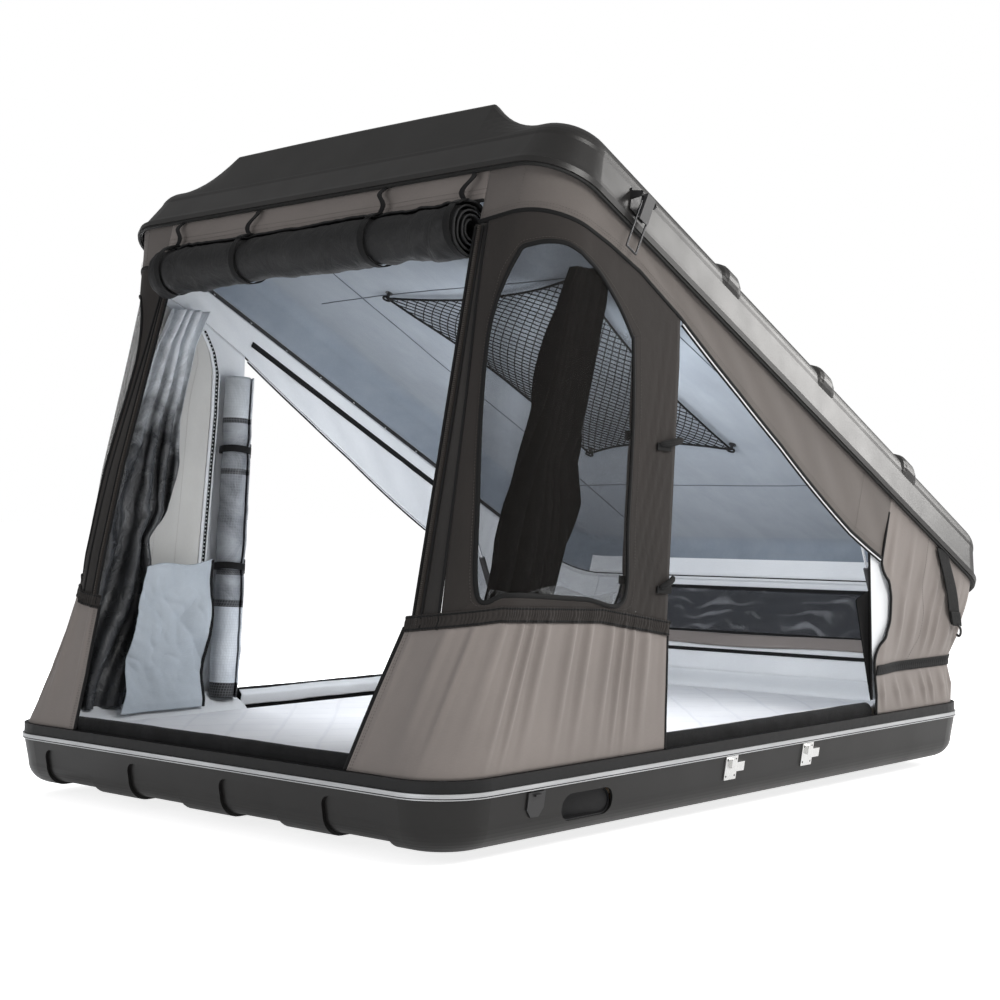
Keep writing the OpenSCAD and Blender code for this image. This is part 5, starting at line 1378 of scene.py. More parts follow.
def front_roll():
    roll_y, roll_z = FRONT_ROLL_AT
    q, a = spiral(FRONT_ROLL_R - 3, 13, 9.8, 40, 2.2)
    x = np.concatenate([np.linspace(-.5, -.40, 36), np.linspace(-.398, .398, 150), np.linspace(.40, .5, 36)])
    x = x * FRONT_ROLL_L
    ties = np.array([-.47, -.2, .22, .47]) * FRONT_ROLL_L + 11
    pinch = np.exp(-((x[:, None] - ties[None]) / 20) ** 2).sum(1)[:, None]
    near_end = ease((np.abs(x) - 330) / 150)[:, None]
    xx, aa = np.meshgrid(x, a, indexing="ij")
    ca, sa = np.cos(aa), np.sin(aa)
    soft = .06 * crumple(xx * .011, 1.5 * ca + 1.2 * sa, 81)
    soft = soft + .05 * creases(xx * .02 + ca, 2.2 * sa + xx * .006, 82)
    rough = .065 * creases(xx * .045 + 1.4 * ca, 2.4 * sa, 84) + .04 * creases(xx * .09, 3 * ca + 2 * sa, 85)
    swell = 1 - .035 * pinch + .06 * near_end + soft * (1 - .7 * pinch)
    swell = swell + rough * (.34 + .9 * near_end) * (1 - .6 * pinch)
    r = np.minimum(q[None] * swell, FRONT_ROLL_R + 8.0)
    y = roll_y + r * ca
    z = roll_z + r * sa - 6 * near_end * (1 - pinch)
    skew = 8 * crumple(q[None] * .09, aa * .3, 83) * ease((np.abs(xx) - 500) / 55) * np.sign(xx)
    grid = raise_points(np.stack([np.clip(xx + skew, -560, 560), y, z], -1))
    out = raise_points(np.stack([xx, roll_y + 100 * ca, roll_z + 100 * sa], -1)) - grid
    roll = build("front_door_roll_cloth", [sheet_part(grid, 4.6, out, back=0)], [FRONT_CLOTH])
    settle(roll, "lid", "roll", ["front_door_roll"], ROLL_UP)
    declare(roll, "folded", ["roll_straps"], grid)
    # ties: a loop round the roll, a wavy tail up to the lid's rim and a tab over the roll
    parts, grids = [], []
    turn, t = np.linspace(0, 2 * np.pi, 60), np.linspace(0, 1, 46)
    for k, tie in enumerate(ties):
        rr = FRONT_ROLL_R - 1.0 + .8 * np.sin(3 * turn + k) + (4 if abs(tie) > 400 else 0)
        loop = np.stack([tie + 3 * np.sin(turn + k), roll_y + rr * np.cos(turn), roll_z + rr * np.sin(turn)], -1)
        parts.append(strap_part(raise_points(loop), (1, 0, 0), 19, 2.4))
        tail_y = mix(roll_y - 30, -HALF_L + 9, ease(t)) - 9 * np.sin(np.pi * t)
        sway = (-1) ** k * 13 * np.sin(2 * np.pi * t * .95) * (1 - .2 * t)
        tail = raise_points(np.stack([tie + sway, tail_y, mix(roll_z + 54, LID_Z - 6.5, t)], -1))
        parts.append(strap_part(tail, (1, 0, 0), 14, 3.2))
        tab = np.stack([tie + 9 * t - 4, roll_y - 24 - 34 * t, roll_z + 58 - 30 * t ** 1.6], -1)
        parts.append(strap_part(raise_points(tab), (1, 0, 0), 24, 4.5))
        grids.append(np.stack([loop, loop + [19, 0, 0]], 1))
        grids.append(np.stack([tail, tail + [14, 0, 0]], 1))
    straps = build("front_roll_ties", parts, [BLACK])
    settle(straps, "lid", "black_cloth", ["roll_straps"], ROLL_UP)
    declare(straps, "hung", ["lid_shell"], *grids)


def on_roll(points, side):
    """Points given across and along a side roll, at their place."""
    lean = math.atan2(ROLL_HEAD[0] - ROLL_FOOT[0], ROLL_HEAD[1] - ROLL_FOOT[1])
    p = np.asarray(points, float)
    y = ROLL_FOOT[0] + p[..., 1] * math.cos(lean) + p[..., 2] * math.sin(lean)
    z = ROLL_FOOT[1] - p[..., 1] * math.sin(lean) + p[..., 2] * math.cos(lean)
    return np.stack([(ROLL_X + p[..., 0]) * side, y, z], -1)


ROLL_L = math.hypot(ROLL_HEAD[0] - ROLL_FOOT[0], ROLL_HEAD[1] - ROLL_FOOT[1])
TIES = (360.0, 690.0)
TOGGLE = [[.5, 0], [4, .6], [5.6, 2.5], [6, 6], [5.2, 18], [4.6, 22], [5.2, 26], [6, 38], [5.6, 41.5], [4, 43.4],
          [.5, 44]]


def side_roll(side):
    tag = SIDE_NAME[side]
    q, a = spiral(ROLL_R - 2.5, 11, 9.8, 34, 1.1 if side > 0 else 2.4)
    z = np.linspace(0, ROLL_L, 110)
    pinch = np.exp(-((z[:, None] - np.array(TIES)[None] - 10) / 24) ** 2).sum(1)[:, None]
    zz, aa = np.meshgrid(z, a, indexing="ij")
    ca, sa = np.cos(aa), np.sin(aa)
    if side > 0:
        swell = 1 - .09 * pinch + .055 * np.cos(5 * aa + .6 + zz * .002) + .03 * crumple(zz * .012, 2 * ca, 91)
    else:
        swell = 1 - .10 * pinch + .05 * crumple(zz * .02, 2.2 * ca, 93) + .05 * creases(zz * .03, 2 * sa, 94)
        swell = swell - .10 * ease((zz - 820) / 90) * (1 + np.sin(2 * aa)) * .5
    r = np.minimum(q[None] * swell, ROLL_R)
    grid = on_roll(np.stack([r * ca, r * sa, zz], -1), side)
    out = on_roll(np.stack([100 * ca, 100 * sa, zz], -1), side) - grid
    finish = NEAR_ROLL if side > 0 else FAR_ROLL
    roll = build("door_roll_cloth_" + tag, [sheet_part(grid, 4.6, out, back=0)], [finish])
    settle(roll, "base", "roll", ["door_roll_" + tag], DOWN)
    declare(roll, "folded", ["roll_toggles"], grid)
    parts, grids = [], []
    turn = np.linspace(0, 2 * np.pi, 50)
    round_x, round_y = (ROLL_R + 1) * np.cos(turn), (ROLL_R + 1) * np.sin(turn)
    for at in TIES:
        loop = np.stack([round_x, round_y, at + 10 + 2 * np.sin(turn * 2)], -1)
        line = on_roll(loop, side)
        up = on_roll(loop + [0, 0, 10], side) - line
        parts.append(strap_part(line, up, 19, 2))
        grids.append(np.stack([line, line + [0, 0, 19]], 1))
        foot, head = on_roll([[0, ROLL_R + 7.0, at - 12], [0, ROLL_R + 7.0, at + 32]], side)
        parts.append(turned_part(TOGGLE, foot, head - foot, 18, 1))
    ties = build("roll_ties_" + tag, parts, [BLACK, BLACK_METAL])
    settle(ties, "base", "black_cloth", ["roll_toggles"], DOWN)
    declare(ties, "stretched", ["door_roll_" + tag], *grids)


# Curtains bunched behind the window screens

# Near curtain's course: height, place behind the front, half its width, depth of its folds, how far it is drawn up
COURSE = np.array([[14, 236, 98, 24, 0], [120, 242, 98, 27, 0], [340, 272, 98, 29, 0], [420, 302, 104, 30, 0],
                   [480, 324, 113, 30, 0], [558, 346, 106, 29, 0], [600, 351, 92, 28, 0], [645, 357, 84, 28, 0],
                   [706, 384, 92, 27, 0], [797, 410, 82, 27, 0], [917, 449, 75, 26, 0], [1000, 476, 76, 24, .7],
                   [1070, 496, 64, 20, 1]])


def curtain(side):
    tag = SIDE_NAME[side]
    h, s = np.meshgrid(np.linspace(14, 1070 if side > 0 else 1096, 176), np.linspace(0, 1, 270), indexing="ij")
    if side > 0:
        mid, half, deep, drawn_up = (np.interp(h, COURSE[:, 0], COURSE[:, c]) for c in range(1, 5))
        beat = 5.5 * s + .3 * np.sin(h * .005 + 5 * s) + .2 * np.sin(h * .013)
        fold = deep * (.7 + .2 * np.sin(h * .008 + 9 * s))
        x = CURTAIN_X + drawn_up * GATHER - deep + fold * np.cos(2 * np.pi * beat) - 3
        y = -HALF_L + mid + half * (2 * s - 1 + .025 * np.sin(4 * np.pi * beat))
        x = x + 2.5 * crumple(h * .012, y * .03, 103)
    else:
        # the far curtain is coated cloth: a few broad folds, a bulge where it was tied, hard creases
        mid = lookup(h, [[14, 256], [300, 318], [470, 352], [525, 376], [640, 402], [800, 442], [1000, 512],
                         [1096, 566]])
        half = lookup(h, [[14, 92], [300, 96], [462, 76], [500, 98], [540, 108], [640, 102], [800, 84], [1000, 68],
                          [1096, 58]])
        deep = 15 + 5 * np.sin(h * .006)
        beat = 3.1 * s + .35 * np.sin(h * .0045 + 4 * s) + .2 * np.sin(h * .011 + 1)
        knot = np.exp(-((h - 560) / 150) ** 2)
        kink = (3 + 8 * knot) * creases(h * .009, s * 5, 101) + (1.5 + 4 * knot) * creases(h * .021, s * 11, 102)
        kink = kink + creases(h * .05, s * 24, 104)
        x = np.minimum(CURTAIN_X - 32 + deep * np.cos(2 * np.pi * beat) - kink, CURTAIN_X - 2)
        y = -HALF_L + mid + half * (2 * s - 1 + .05 * np.sin(4 * np.pi * beat)) + .4 * kink * np.sin(np.pi * s)
    grid = np.stack([x * side, y, RAIL_TOP + h], -1)
    cloth = build("window_curtain_cloth_" + tag, [sheet_part(grid, 1.8, (side, 0, 0), back=0)],
                  [NEAR_CURTAIN if side > 0 else FAR_CURTAIN])
    settle(cloth, "base", "black_cloth", ["window_curtain_" + tag], DOWN)
    declare(cloth, "gathered", ["window_panel_" + tag], grid)


# Bed

CORNERS = ((1, 1), (-1, 1), (-1, -1), (1, -1))


def rounded(w, l, r, draw, n_corner=10, n_side=36):
    """Rounded rectangle whose sides draw in between the corners."""
    ring = []
    t = np.linspace(0, 1, n_side + 2)[1:-1, None]
    for q, (sx, sy) in enumerate(CORNERS):
        ax, ay = CORNERS[(q + 1) % 4]
        a, b = np.radians(np.linspace(q * 90, q * 90 + 90, n_corner)), np.radians((q + 1) * 90)
        ring.append(np.stack([sx * (w / 2 - r) + r * np.cos(a), sy * (l / 2 - r) + r * np.sin(a)], -1))
        start, end = ring[-1][-1], np.array([ax * (w / 2 - r) + r * np.cos(b), ay * (l / 2 - r) + r * np.sin(b)])
        inward = np.array([0, -sy]) if q % 2 == 0 else np.array([-ax, 0])
        ring.append(start + (end - start) * t + inward * (draw * np.sin(np.pi * t)))
    return np.concatenate(ring)


def mattress():
    rings = []
    for grow, share in ((-40, 0), (-12, .02), (-4, .1), (0, .3), (1, .5), (0, .7), (-4, .9), (-9, .965), (-17, 1)):
        ring = rounded(BED_W + grow, BED_L + grow, BED_R, BED_DRAW)
        rings.append(np.column_stack([ring, np.full(len(ring), BED_Z + share * BED_H)]))
    top = rounded(BED_W - 17, BED_L - 17, BED_R, BED_DRAW)
    for t in np.concatenate([np.linspace(.985, .5, 42), np.linspace(.48, .03, 20)]):
        x, y = (top * t).T
        crown = 12 * (1 - t ** 6) ** .8
        quilt = np.minimum(np.abs(np.sin(x * .021 + .5 * np.sin(y * .018))),
                           np.abs(np.sin(y * .021 + .5 * np.sin(x * .018))))
        lump = 2.0 * crumple(x * .006, y * .006, 111) - 1.6 * np.exp(-(quilt / .12) ** 2)
        rings.append(np.column_stack([x, y, BED_Z + BED_H + np.maximum(crown + lump * ease((1 - t) * 12), -1)]))
    pad = build("mattress_pad", [ring_part(rings)], [MATTRESS])
    settle(pad, "base", "mattress", ["mattress"], pad=.8)
    edge = rounded(BED_W - 6, BED_L - 6, BED_R, BED_DRAW)
    cords = [np.column_stack([edge, np.full(len(edge), BED_Z + h)]) for h in (6, 67)]
    piping = build("mattress_piping", [tube_part(c, 3.2, 8, (0, 0, 1), closed=True) for c in cords], [LINING])
    settle(piping, "base", "mattress")


def sill(tag, length, place):
    """Padded sill: flat back against the rail, round top, soft ends and lumps."""
    w, h = SILL_W, SILL_H
    a = np.radians(np.linspace(0, 180, 17))
    arch = np.stack([w / 2 + w / 2 * np.cos(a), h - w / 2 + w / 2 * np.sin(a)], -1)
    section = np.concatenate([[[w * .98, 1], [w, 5]], arch, [[0, 5], [.6, 1]]])
    middle = np.array([w / 2, 18])
    rings = []
    for k in np.linspace(0, 1, 140):
        end = min(k, 1 - k) * length
        shrink = 1 - .35 * (1 - min(end / 16, 1)) ** 2
        ring = middle + (section - middle) * shrink
        top = np.clip((ring[:, 1] - 8) / 30, 0, 1)
        lump = crumple(k * length * .018, ring[:, 0] * .05, 121) * 1.4 - .8
        ring = ring + np.stack([0 * top, lump * top], -1)
        rings.append(np.column_stack([np.full(len(ring), (k - .5) * length), ring]))
    along, deep, height = np.moveaxis(np.array(rings), -1, 0)
    pad = build(tag + "_sill_pad", [ring_part(place(along, deep, SILL_LOW + height))], [VELVET])
    settle(pad, "base", "pad", ["sill_" + tag], pad=.7)


def sills():
    sill("front", FRONT_SILL_L, lambda s, d, z: np.stack([-s, FRONT_SILL_Y - d, z], -1))
    sill("right", SIDE_SILL_L, lambda s, d, z: np.stack([SIDE_SILL_X + d, SIDE_SILL_Y + s, z], -1)[:, ::-1])
    sill("left", SIDE_SILL_L, lambda s, d, z: np.stack([-SIDE_SILL_X - d, SIDE_SILL_Y + s, z], -1))


# Inside of the lid

def lid_ring(inset, z, n_side=46):
    ring = rounded(2 * (HALF_W - inset), 2 * (HALF_L - inset), CORNER_R - inset, 0, 14, n_side)
    return np.column_stack([ring, np.full(len(ring), z)])


def felt_drape(x, y):
    """How far the felt hangs below the lid's inner face."""
    return np.clip(1.8 + (1.6 * crumple(x * .007, y * .006, 131) + crumple(x * .02, y * .013, 132)), 0, 6)


def on_felt(x, y):
    return raise_points(np.stack([x, y, LID_TOP - FELT_GAP - FELT_T - 1.9 - felt_drape(x, y)], -1))


def liner():
    rings = [lid_ring(mix(19.6, 37.4, (z - 216) / 65), z) for z in (213, 226, 240, 254, 268)]
    r = 55 - FELT_GAP - FELT_T
    for a in np.radians(np.linspace(0, 90, 12)):
        rings.append(lid_ring(28 + 55 - r * math.cos(a), LID_BEND + r * math.sin(a)))
    top = rings[-1]
    for t in np.linspace(.98, .02, 44):
        ring = top * np.array([t, t, 1])
        ring[:, 2] -= felt_drape(ring[:, 0], ring[:, 1]) * ease((1 - t) * 10)
        rings.append(ring)
    closed = np.array(rings).transpose(1, 0, 2)
    grid = raise_points(closed)
    inwards = np.array([0, 0, 330.0]) - closed
    inwards[..., 2] = np.where(closed[..., 2] > 300, -900.0, 0.0)
    facing = np.stack([inwards[..., 0], *lid_way(inwards[..., 1], inwards[..., 2])[1:]], -1)
    points, faces, uv, _ = sheet_part(grid, 2.6, facing, loop=True)
    # the rear wall of the lid is lined in white
    spots = closed.reshape(-1, 3)
    first = spots[np.array(faces)[:, 0] % len(spots)]
    rear = (first[:, 1] > HALF_L - 70) & (first[:, 2] < 275) & (np.abs(first[:, 0]) < 690)
    cloth = build("lid_liner_felt", [(points, faces, uv, np.where(rear, 1, 0).tolist())], [FELT, LINING])
    settle(cloth, "lid", "felt", ["lid_liner"])
    declare(cloth, "stretched", ["lid_shell"], np.concatenate([grid, grid[:1]]))
    y, x = np.linspace(-930, 930, 220), np.linspace(-640, 640, 160)
    lines = [on_felt(at + 6 * np.sin(y * .004), y) for at in (-455, 455)]
    lines += [on_felt(x, at + 7 * np.sin(x * .005)) for at in (-470, 640)]
    seams = build("lid_liner_seams", [tube_part(line, 1.4, 6) for line in lines], [SEAM_DARK])
    settle(seams, "lid", "felt")


def gear_net():
    rows, cols = 54, 40
    i, j = np.meshgrid(np.linspace(0, 1, rows + 1), np.linspace(-1, 1, cols + 1), indexing="ij")
    width = mix(NET["rear"], NET["front"], i) / 2
    side_pull = 1 - .13 * np.sin(np.pi * i) * np.abs(j) ** 1.5
    y = NET["rear_y"] - NET["length"] * (i + (.055 * (1 - 2 * i)) * (1 - j ** 2) * np.abs(1 - 2 * i) ** 3)
    x = width * j * side_pull
    z = NET["z"] - 16 * np.sin(np.pi * i) * (1 - j ** 4) - 2 * crumple(i * 9, j * 7, 141)
    grid = raise_points(np.stack([x, y, z], -1))
    ids = np.arange((rows + 1) * (cols + 1)).reshape(rows + 1, cols + 1)
    edges = []
    for r in range(rows):
        for c in range(cols):
            lean = (r + c) % 2
            edges.append((int(ids[r, c + lean]), int(ids[r + 1, c + 1 - lean])))
    used = sorted({k for e in edges for k in e})
    remap = {k: n for n, k in enumerate(used)}
    edges = [(remap[a], remap[b]) for a, b in edges]
    net = grown("gear_net_cords", grid.reshape(-1, 3)[used], edges, CORDS, NET_CORD, radius=.0015, knot=.0025)
    settle(net, "lid", "black_cloth", ["gear_net"])
    rim = np.concatenate([grid[0], grid[1:, -1], grid[-1, ::-1][1:], grid[::-1, 0][1:-1]])
    parts = [tube_part(rim, 3.2, 8, closed=True)]
    # a ring at each corner, for its hook
    up, across = np.array(lid_way(0, 1)), np.array([1.0, 0, 0])
    a = np.linspace(0, 2 * np.pi, 25)[:-1, None]
    ring = 11 * (across * np.cos(a) + np.cross(up, across) * np.sin(a))
    for corner in (grid[0, 0], grid[0, -1], grid[-1, 0], grid[-1, -1]):
        parts.append(tube_part(corner + ring - up * 2, 3.0, 8, up, closed=True))
    border = build("gear_net_border", parts, [BLACK])
    settle(border, "lid", "black_cloth")


def rear_straps():
    k, bend = np.linspace(0, 1, 60), np.linspace(0, 4.0, 26)
    top = DOOR_REAR_U + 190
    u = mix(top, top + 166, k)
    # each strap starts just inside the lid's rim
    y = rim_at(u)[1] - AXIS_Y
    foot = AXIS_Z + y * math.sin(OPEN) + (FOOT - AXIS_Z) * math.cos(OPEN)
    v = mix((LID_Z - 6 - foot) / (HEAD - foot), .58, k)
    out = mix(9.5, 13.0, ease(k * 2)) + 2 * np.sin(np.pi * k)
    for side, tag in SIDES:
        line = wall_at(u, v, out, side)
        across = wall_at(u + 22, v + .012, out, side) - line
        parts = [strap_part(line, across, 58, 2.6)]
        # sewn end: webbing doubled back through a small hook
        tip, way = line[-1], outward(u[-1:], side)[0]
        doubled = np.stack([line[-14] + (tip - line[-14]) * t + way * 3.4 for t in np.linspace(.1, 1.08, 10)])
        parts.append(strap_part(doubled, across[-10:], 54, 2.8))
        hook = tip + way * (6 + 8 * np.sin(bend))[:, None]
        hook = hook + np.array([0, 6.0, 0]) * (bend / 4)[:, None]
        hook = hook + np.array([0, 0, -1.0]) * (2 + 15 * (1 - np.cos(bend)))[:, None]
        parts.append(tube_part(hook, 3.4, 10, finish=1))
        strap = build("rear_strap_webbing_" + tag, parts, [BLACK, BLACK_METAL])
        settle(strap, "lid", "black_cloth", ["rear_straps"], STRAP_UP)
        edge = line + across / np.linalg.norm(across, axis=-1, keepdims=True) * 58
        declare(strap, "hung", ["lid_shell"], np.stack([line, edge], 1))


# Loose cloth inside

def cover_zip(v):
    return lookup(v, [[.10, 616], [.30, 575], [.36, 562], [.73, 488], [.83, 461], [.87, 434], [.89, 408],
                      [.905, 384]])


def window_cover():
    """Cover behind the far window's screen, up to its curved zip."""
    v, k = np.meshgrid(np.linspace(.30, .905, 80), np.linspace(0, 1, 70), indexing="ij")
    u = mix(cover_zip(v) - 300 + 120 * ease((v - .7) / .2), cover_zip(v), k)
    cover = wall_at(u, v, -9 + 1.6 * np.cos(u * .075 + v * 4) * np.sin(np.pi * k), -1)
    cloth = build("window_cover_cloth", [sheet_part(cover, 2.0, outward(u, -1))], [CANVAS, BEIGE])
    lines = [cover[:, row] + np.array([2.0, 0, 0]) for row in (30, 48)]
    seam = row_along("window_cover_stitches", lines, THREAD_PALE, **STITCH)
    v = np.linspace(.02, .905, 160)
    u = cover_zip(v)
    parts = []
    for shift, width, finish, out in ((-3, 12, 0, -12), (9, 9, 1, -13), (17, 6, 0, -12)):
        parts.append(edging(wall_at(u + shift, v, out, -1), outward(u, -1), width, 5, finish))
    trim = build("window_cover_zip", parts, [LINING, BLACK])
    teeth = row_along("window_cover_zip_teeth", [wall_at(u + 4, v, -16, -1)], LINING_THREAD, 11, (5, 8, 4))
    settle(cloth, "base", "canvas", (), DOWN)
    settle(seam, "base", "canvas", (), DOWN)
    settle(trim, "base", "black_cloth", (), DOWN)
    settle(teeth, "base", "canvas", (), DOWN)
    declare(cloth, "hung", ["window_panel_left"], cover, with_pieces=[seam, trim, teeth])


def inner_flap():
    """Grey flap that hangs loose over the far lower panel."""
    a, h = np.meshgrid(np.linspace(0, 1, 120), np.linspace(0, 1, 120), indexing="ij")
    y = mix(mix(-784, -694, h), mix(-507, -474, h), a)
    z = mix(178, 566 + 12 * a + 6 * np.sin(a * 7), h)
    fold = 13 * creases(y * .010 + z * .004, z * .009, 151) + 6 * creases(y * .024, z * .022 + y * .01, 152)
    fold = fold + 2 * creases(y * .06, z * .05, 153)
    loose = np.clip(np.sin(np.pi * np.clip(h, .05, .97)) * 1.4, 0, 1)
    x = -np.minimum(690 - 10 * np.sin(np.pi * h) + 1.7 * fold * loose, 712)
    grid = np.stack([x, y, z], -1)
    inside = (1, 0, 0)
    flap = build("inner_flap_cloth", [sheet_part(grid, 2.0, inside, back=0)], [GREY_FLAP])
    tapes = [edging(grid[-1], inside, 11, 6), edging(grid[:, -1], inside, 5, 4, 1)]
    bound = build("inner_flap_binding", tapes, [BLACK, GREY_FLAP])
    settle(flap, "base", "canvas", (), DOWN)
    settle(bound, "base", "black_cloth", (), DOWN)
    declare(flap, "hung", ["window_panel_left"], grid, with_pieces=[bound])


def sill_linings():
    """Lining behind the sills of the side doors."""
    y, k = np.meshgrid(np.linspace(-343, 568, 120), np.linspace(0, 1, 16), indexing="ij")
    for side, tag in SIDES:
        x = side * (736.5 - 24 * ease(k / .35) * (1 - k) * .6 - 2 * np.sin(y * .02))
        z = mix(208, 164, k) + 1.5 * crumple(y * .02, k * 3, 161)
        grid = np.stack([x, y, z], -1)
        lining = build("sill_lining_" + tag, [sheet_part(grid, 1.6, (-side, 0, 0), back=0)], [LINING])
        settle(lining, "base", "canvas")
        declare(lining, "laid", ["sill_" + tag], grid)


def round_bed(inset):
    """Path along the left side, the rear and the right side, at a distance from the tub's outer edge."""
    r = CORNER_R + 20 - inset
    half_x, half_y = HALF_W - inset, HALF_L - inset
    a = np.radians(np.linspace(180, 90, 16))[:, None]
    turn = np.hstack([-half_x + r + r * np.cos(a), half_y - r + r * np.sin(a)])
    left = np.vstack([[[-half_x, 575.0], [-half_x, half_y - r - 40]], turn])
    line = np.vstack([left, left[::-1] * [-1, 1]])
    run = np.concatenate([[0], np.cumsum(np.linalg.norm(np.diff(line, axis=0), axis=-1))])
    at = np.linspace(0, run[-1], 360)
    return np.stack([np.interp(at, run, line[:, c]) for c in (0, 1)], -1)


def falling(drop, level):
    """Inset and height down a draped lining, from the table of its stations."""
    return (np.interp(level, np.arange(len(drop)), column) for column in np.array(drop, float).T)


def bed_linings():
    """Lining round the foot of the walls, draped over the rail down to the bed."""
    def drape(name, grid):
        skirt = build(name, [sheet_part(grid, 1.6, (0, 0, 1), back=0)], [LINING])
        settle(skirt, "base", "canvas")
        declare(skirt, "draped", ["canvas_rail"], grid)

    t, k = np.meshgrid(np.linspace(0, 1, 360), np.linspace(0, 1, 14), indexing="ij")
    drop = [[27, 209], [29, 203], [39, 195], [56, 184], [73, 172], [80, 155]]
    rows = zip(*falling(drop, np.linspace(0, 5, 14)))
    grid = np.stack([np.column_stack([round_bed(inset), np.full(360, z)]) for inset, z in rows], 1)
    grid[..., 1] += .36 * np.maximum(grid[..., 2] - 183, 0) * ease((grid[..., 1] - 900) / 130)
    grid[..., 2] += 1.6 * crumple(t * 60, k * 4, 162) * np.sin(np.pi * k)
    drape("bed_lining_rear", grid)
    y, k = np.meshgrid(np.linspace(-905, -352, 120), np.linspace(0, 1, 14), indexing="ij")
    inset, z = falling([[31, 209], [33, 203], [44, 195], [64, 184], [92, 172], [110, 156]], k * 5)
    z = z + 1.6 * crumple(y * .02, k * 4, 163) * np.sin(np.pi * k)
    for side, tag in SIDES:
        drape("bed_lining_" + tag, np.stack([side * (HALF_W - inset), y, z], -1))


def door_toggles():
    """Toggles that hold the near door's roll, out round the panel's rear edge."""
    parts = []
    t = np.linspace(0, 1, 24)
    for y0, y1, z0, z1 in ((-372, -284, 872, 884), (-374, -318, 549, 570)):
        line = np.stack([792.5 + 3 * np.sin(np.pi * t), mix(y0, y1, t), mix(z0, z1, t ** 1.6)], -1)
        parts.append(tube_part(line, np.interp(t, [0, .1, .5, .9, 1], [2, 6, 9, 8, 3]), 12, (1, 0, 0), .55))
        strap = np.stack([790.5 + 0 * t, mix(y0 - 6, y0 + 46, t), z0 - 5 - 3 * t], -1)
        parts.append(strap_part(strap, (0, .1, 1), 17, 2.2))
    toggles = build("door_panel_toggles", parts, [BLACK])
    settle(toggles, "base", "black_cloth", (), DOWN)


def door_corner_flap():
    """Dark flap inside the near door's rear edge, a long triangle in y and z."""
    a, b = np.meshgrid(np.linspace(0, 1, 40), np.linspace(0, 1, 40), indexing="ij")
    top, lead, low = np.array([562.0, 512]), np.array([486.0, 487]), np.array([560.0, 214])
    share, turn = b[..., None], .12
    edge = np.where(share < turn, mix(top, lead, share / turn), mix(lead, low, (share - turn) / .88))
    yz = mix(mix(top, low, share), edge, a[..., None])
    grid = np.stack([774 - 6 * np.sin(a * 3) * np.sin(np.pi * b), yz[..., 0], yz[..., 1]], -1)
    dark = build("door_corner_flap", [sheet_part(grid, 2.2, (1, 0, 0), back=0)], [NEAR_CURTAIN])
    settle(dark, "base", "black_cloth", (), DOWN)
    declare(dark, "hung", ["rear_column_right"], grid)


def window_film():
    """Clear film, let down in a crumpled roll along the foot of the near window."""
    i, k = np.meshgrid(np.linspace(0, 1, 140), np.linspace(0, 1, 18), indexing="ij")
    u = mix(120, 520, i)
    h = panel_top(u) + 26 + mix(0, 42, k) * (.55 + .45 * np.sin(i * 5.2 + 2.2) ** 2)
    out = -7 - 9 * np.sin(np.pi * k) - 4 * creases(i * 30, k * 3, 171) - 3 * creases(i * 70, k * 5, 172)
    film = wall_at(u, share_at(u, h), out)
    clear = build("window_film", [sheet_part(film, .8, outward(u), back=0)], [FILM])
    settle(clear, "base", "screen", (), DOWN)
    declare(clear, "folded", ["window_panel_right"], film)


def rim_rivets():
    """Rivets along the rim batten inside the lid, but for its taped rear run."""
    rim = lid_ring(17.2, 205.5, 60)
    rim = np.roll(rim, -int(np.argmin(np.abs(rim[:, 0]) - rim[:, 1])), axis=0)
    rivets = row_along("rim_batten_rivets", [raise_points(rim[rim[:, 1] < 950])], STEEL, 150, (7, 3, 7))
    settle(rivets, "lid", "steel")


for side in (1, -1):
    lower_panel(side)
    front_post(side)
    window(side)
    upper_strip(side)
    rear_column(side)
    side_roll(side)
    curtain(side)
rear_wall()
rear_pocket()
waist_band()
front_valance()
front_roll()
mattress()
sills()
liner()
gear_net()
rear_straps()
window_cover()
inner_flap()
sill_linings()
bed_linings()
door_toggles()
door_corner_flap()
window_film()
rim_rivets()

for obj, flat, held, rests_on, area, with_pieces in sheets:
    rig.sheet(obj, flat=flat, held=held, rests_on=rests_on, area=area, with_pieces=with_pieces)


# Floor, light and camera

FLOOR = 60.0
EYE, EYE_TILT, EYE_TURN = (3.27492, -3.58230, 0.73624), 90.133, 42.814
SENSOR, LENS = 36.0, 64.49
LAMPS = (("key", (4.6, -.4, 3.6), (0, 0, .8), 2.4, 150, (1, .985, .96)),
         ("rear_side", (2.6, 5.2, 2.6), (.4, 0, .7), 2.8, 165, (1, .985, .965)),
         ("door_side", (-3.2, 1.2, 1.9), (0, 0, .5), 2.2, 130, (.96, .98, 1)),
         ("front_fill", (.2, -4.2, 1.2), (0, 0, .6), 2.2, 22, (.97, .98, 1)),
         ("inside", (.35, -.25, .90), (-.45, .75, .30), .6, 9.0, (.96, .98, 1)))


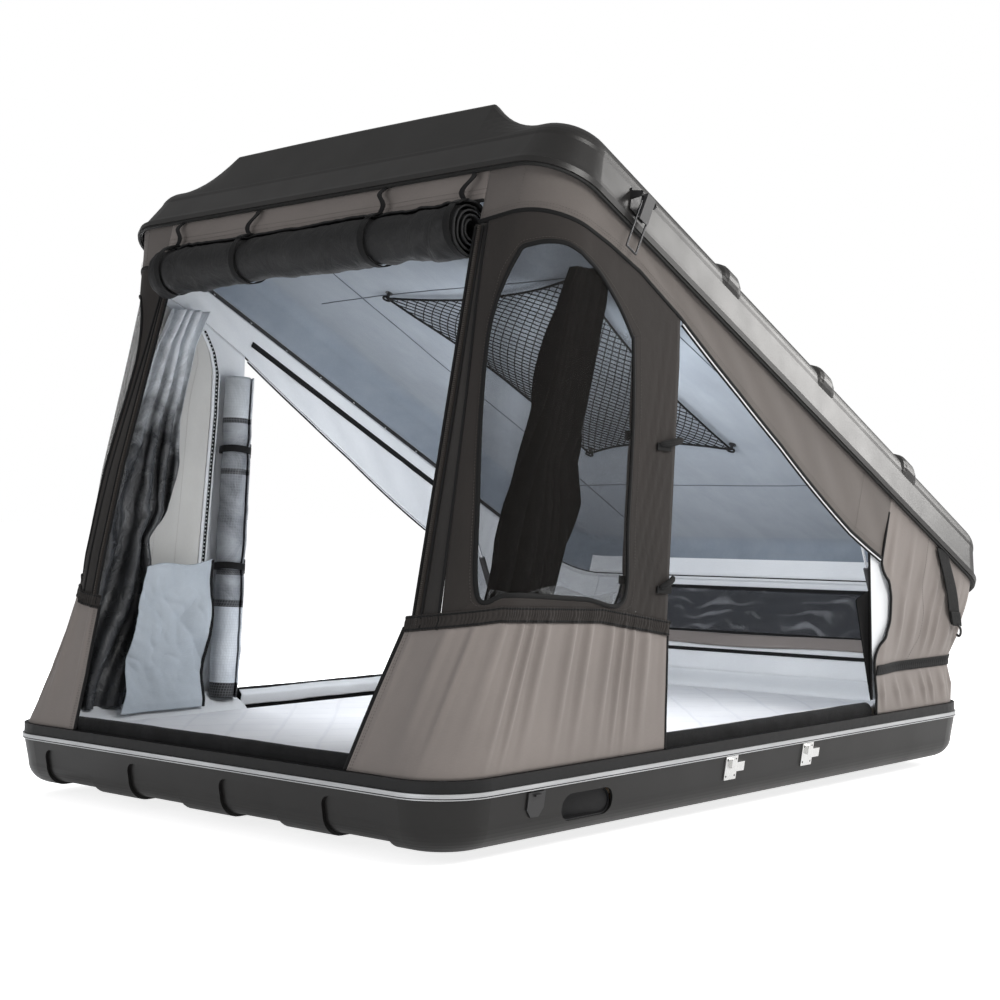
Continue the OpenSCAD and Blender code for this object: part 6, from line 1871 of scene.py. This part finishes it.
def studio():
    floor_mat = Finish("studio_floor")
    soft = floor_mat.noise(.6, 2)
    colour = floor_mat.tones(soft, (.3, (.93, .93, .935)), (.7, (.955, .955, .96)))
    seen = floor_mat.node("ShaderNodeLightPath").outputs["Is Camera Ray"]
    floor_mat.done(colour, floor_mat.span(soft, .85, .95), Emission_Color=(1, 1, 1, 1),
                   Emission_Strength=floor_mat.span(seen, .22, .80, 0.0, 1.0))
    mesh = bpy.data.meshes.new("studio_floor")
    mesh.from_pydata([(sx * FLOOR, sy * FLOOR, 0) for sx, sy in ((-1, -1), (1, -1), (1, 1), (-1, 1))], [],
                     [(0, 1, 2, 3)])
    mesh.materials.append(floor_mat.mat)
    floor = bpy.data.objects.new("studio_floor", mesh)
    scene.collection.objects.link(floor)
    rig.stage(floor)
    world = bpy.data.worlds.new("studio_white")
    scene.world = world
    world.use_nodes = True
    tree = world.node_tree
    sky = tree.nodes["Background"]
    sky.inputs[0].default_value = (1, 1, 1, 1)
    path, level = tree.nodes.new("ShaderNodeLightPath"), tree.nodes.new("ShaderNodeMapRange")
    level.inputs["To Min"].default_value, level.inputs["To Max"].default_value = .30, 1.0
    tree.links.new(path.outputs["Is Camera Ray"], level.inputs["Value"])
    tree.links.new(level.outputs[0], sky.inputs[1])
    for name, place, aim, size, power, tint in LAMPS:
        lamp = bpy.data.lights.new(name, "AREA")
        lamp.shape, lamp.size, lamp.energy, lamp.color = "DISK", size, power, tint
        obj = bpy.data.objects.new(name, lamp)
        obj.location = place
        obj.rotation_euler = (Vector(aim) - Vector(place)).to_track_quat("-Z", "Y").to_euler()
        obj.visible_camera = False
        obj.visible_glossy = name != "door_side"
        scene.collection.objects.link(obj)
    cam = bpy.data.cameras.new("photo_view")
    cam.sensor_width, cam.lens = SENSOR, LENS
    cam.clip_end = 200
    eye = bpy.data.objects.new("photo_view", cam)
    eye.location = EYE
    eye.rotation_euler = (math.radians(EYE_TILT), 0, math.radians(EYE_TURN))
    scene.collection.objects.link(eye)
    scene.camera = eye
    scene.view_settings.view_transform = "Standard"
    scene.view_settings.look = "None"


studio()
bpy.context.view_layer.update()
low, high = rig.bounds()
with open("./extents.json", "w") as out:
    json.dump({"cad": [list(cad_low), list(cad_high)], "visual": [list(low), list(high)]}, out)
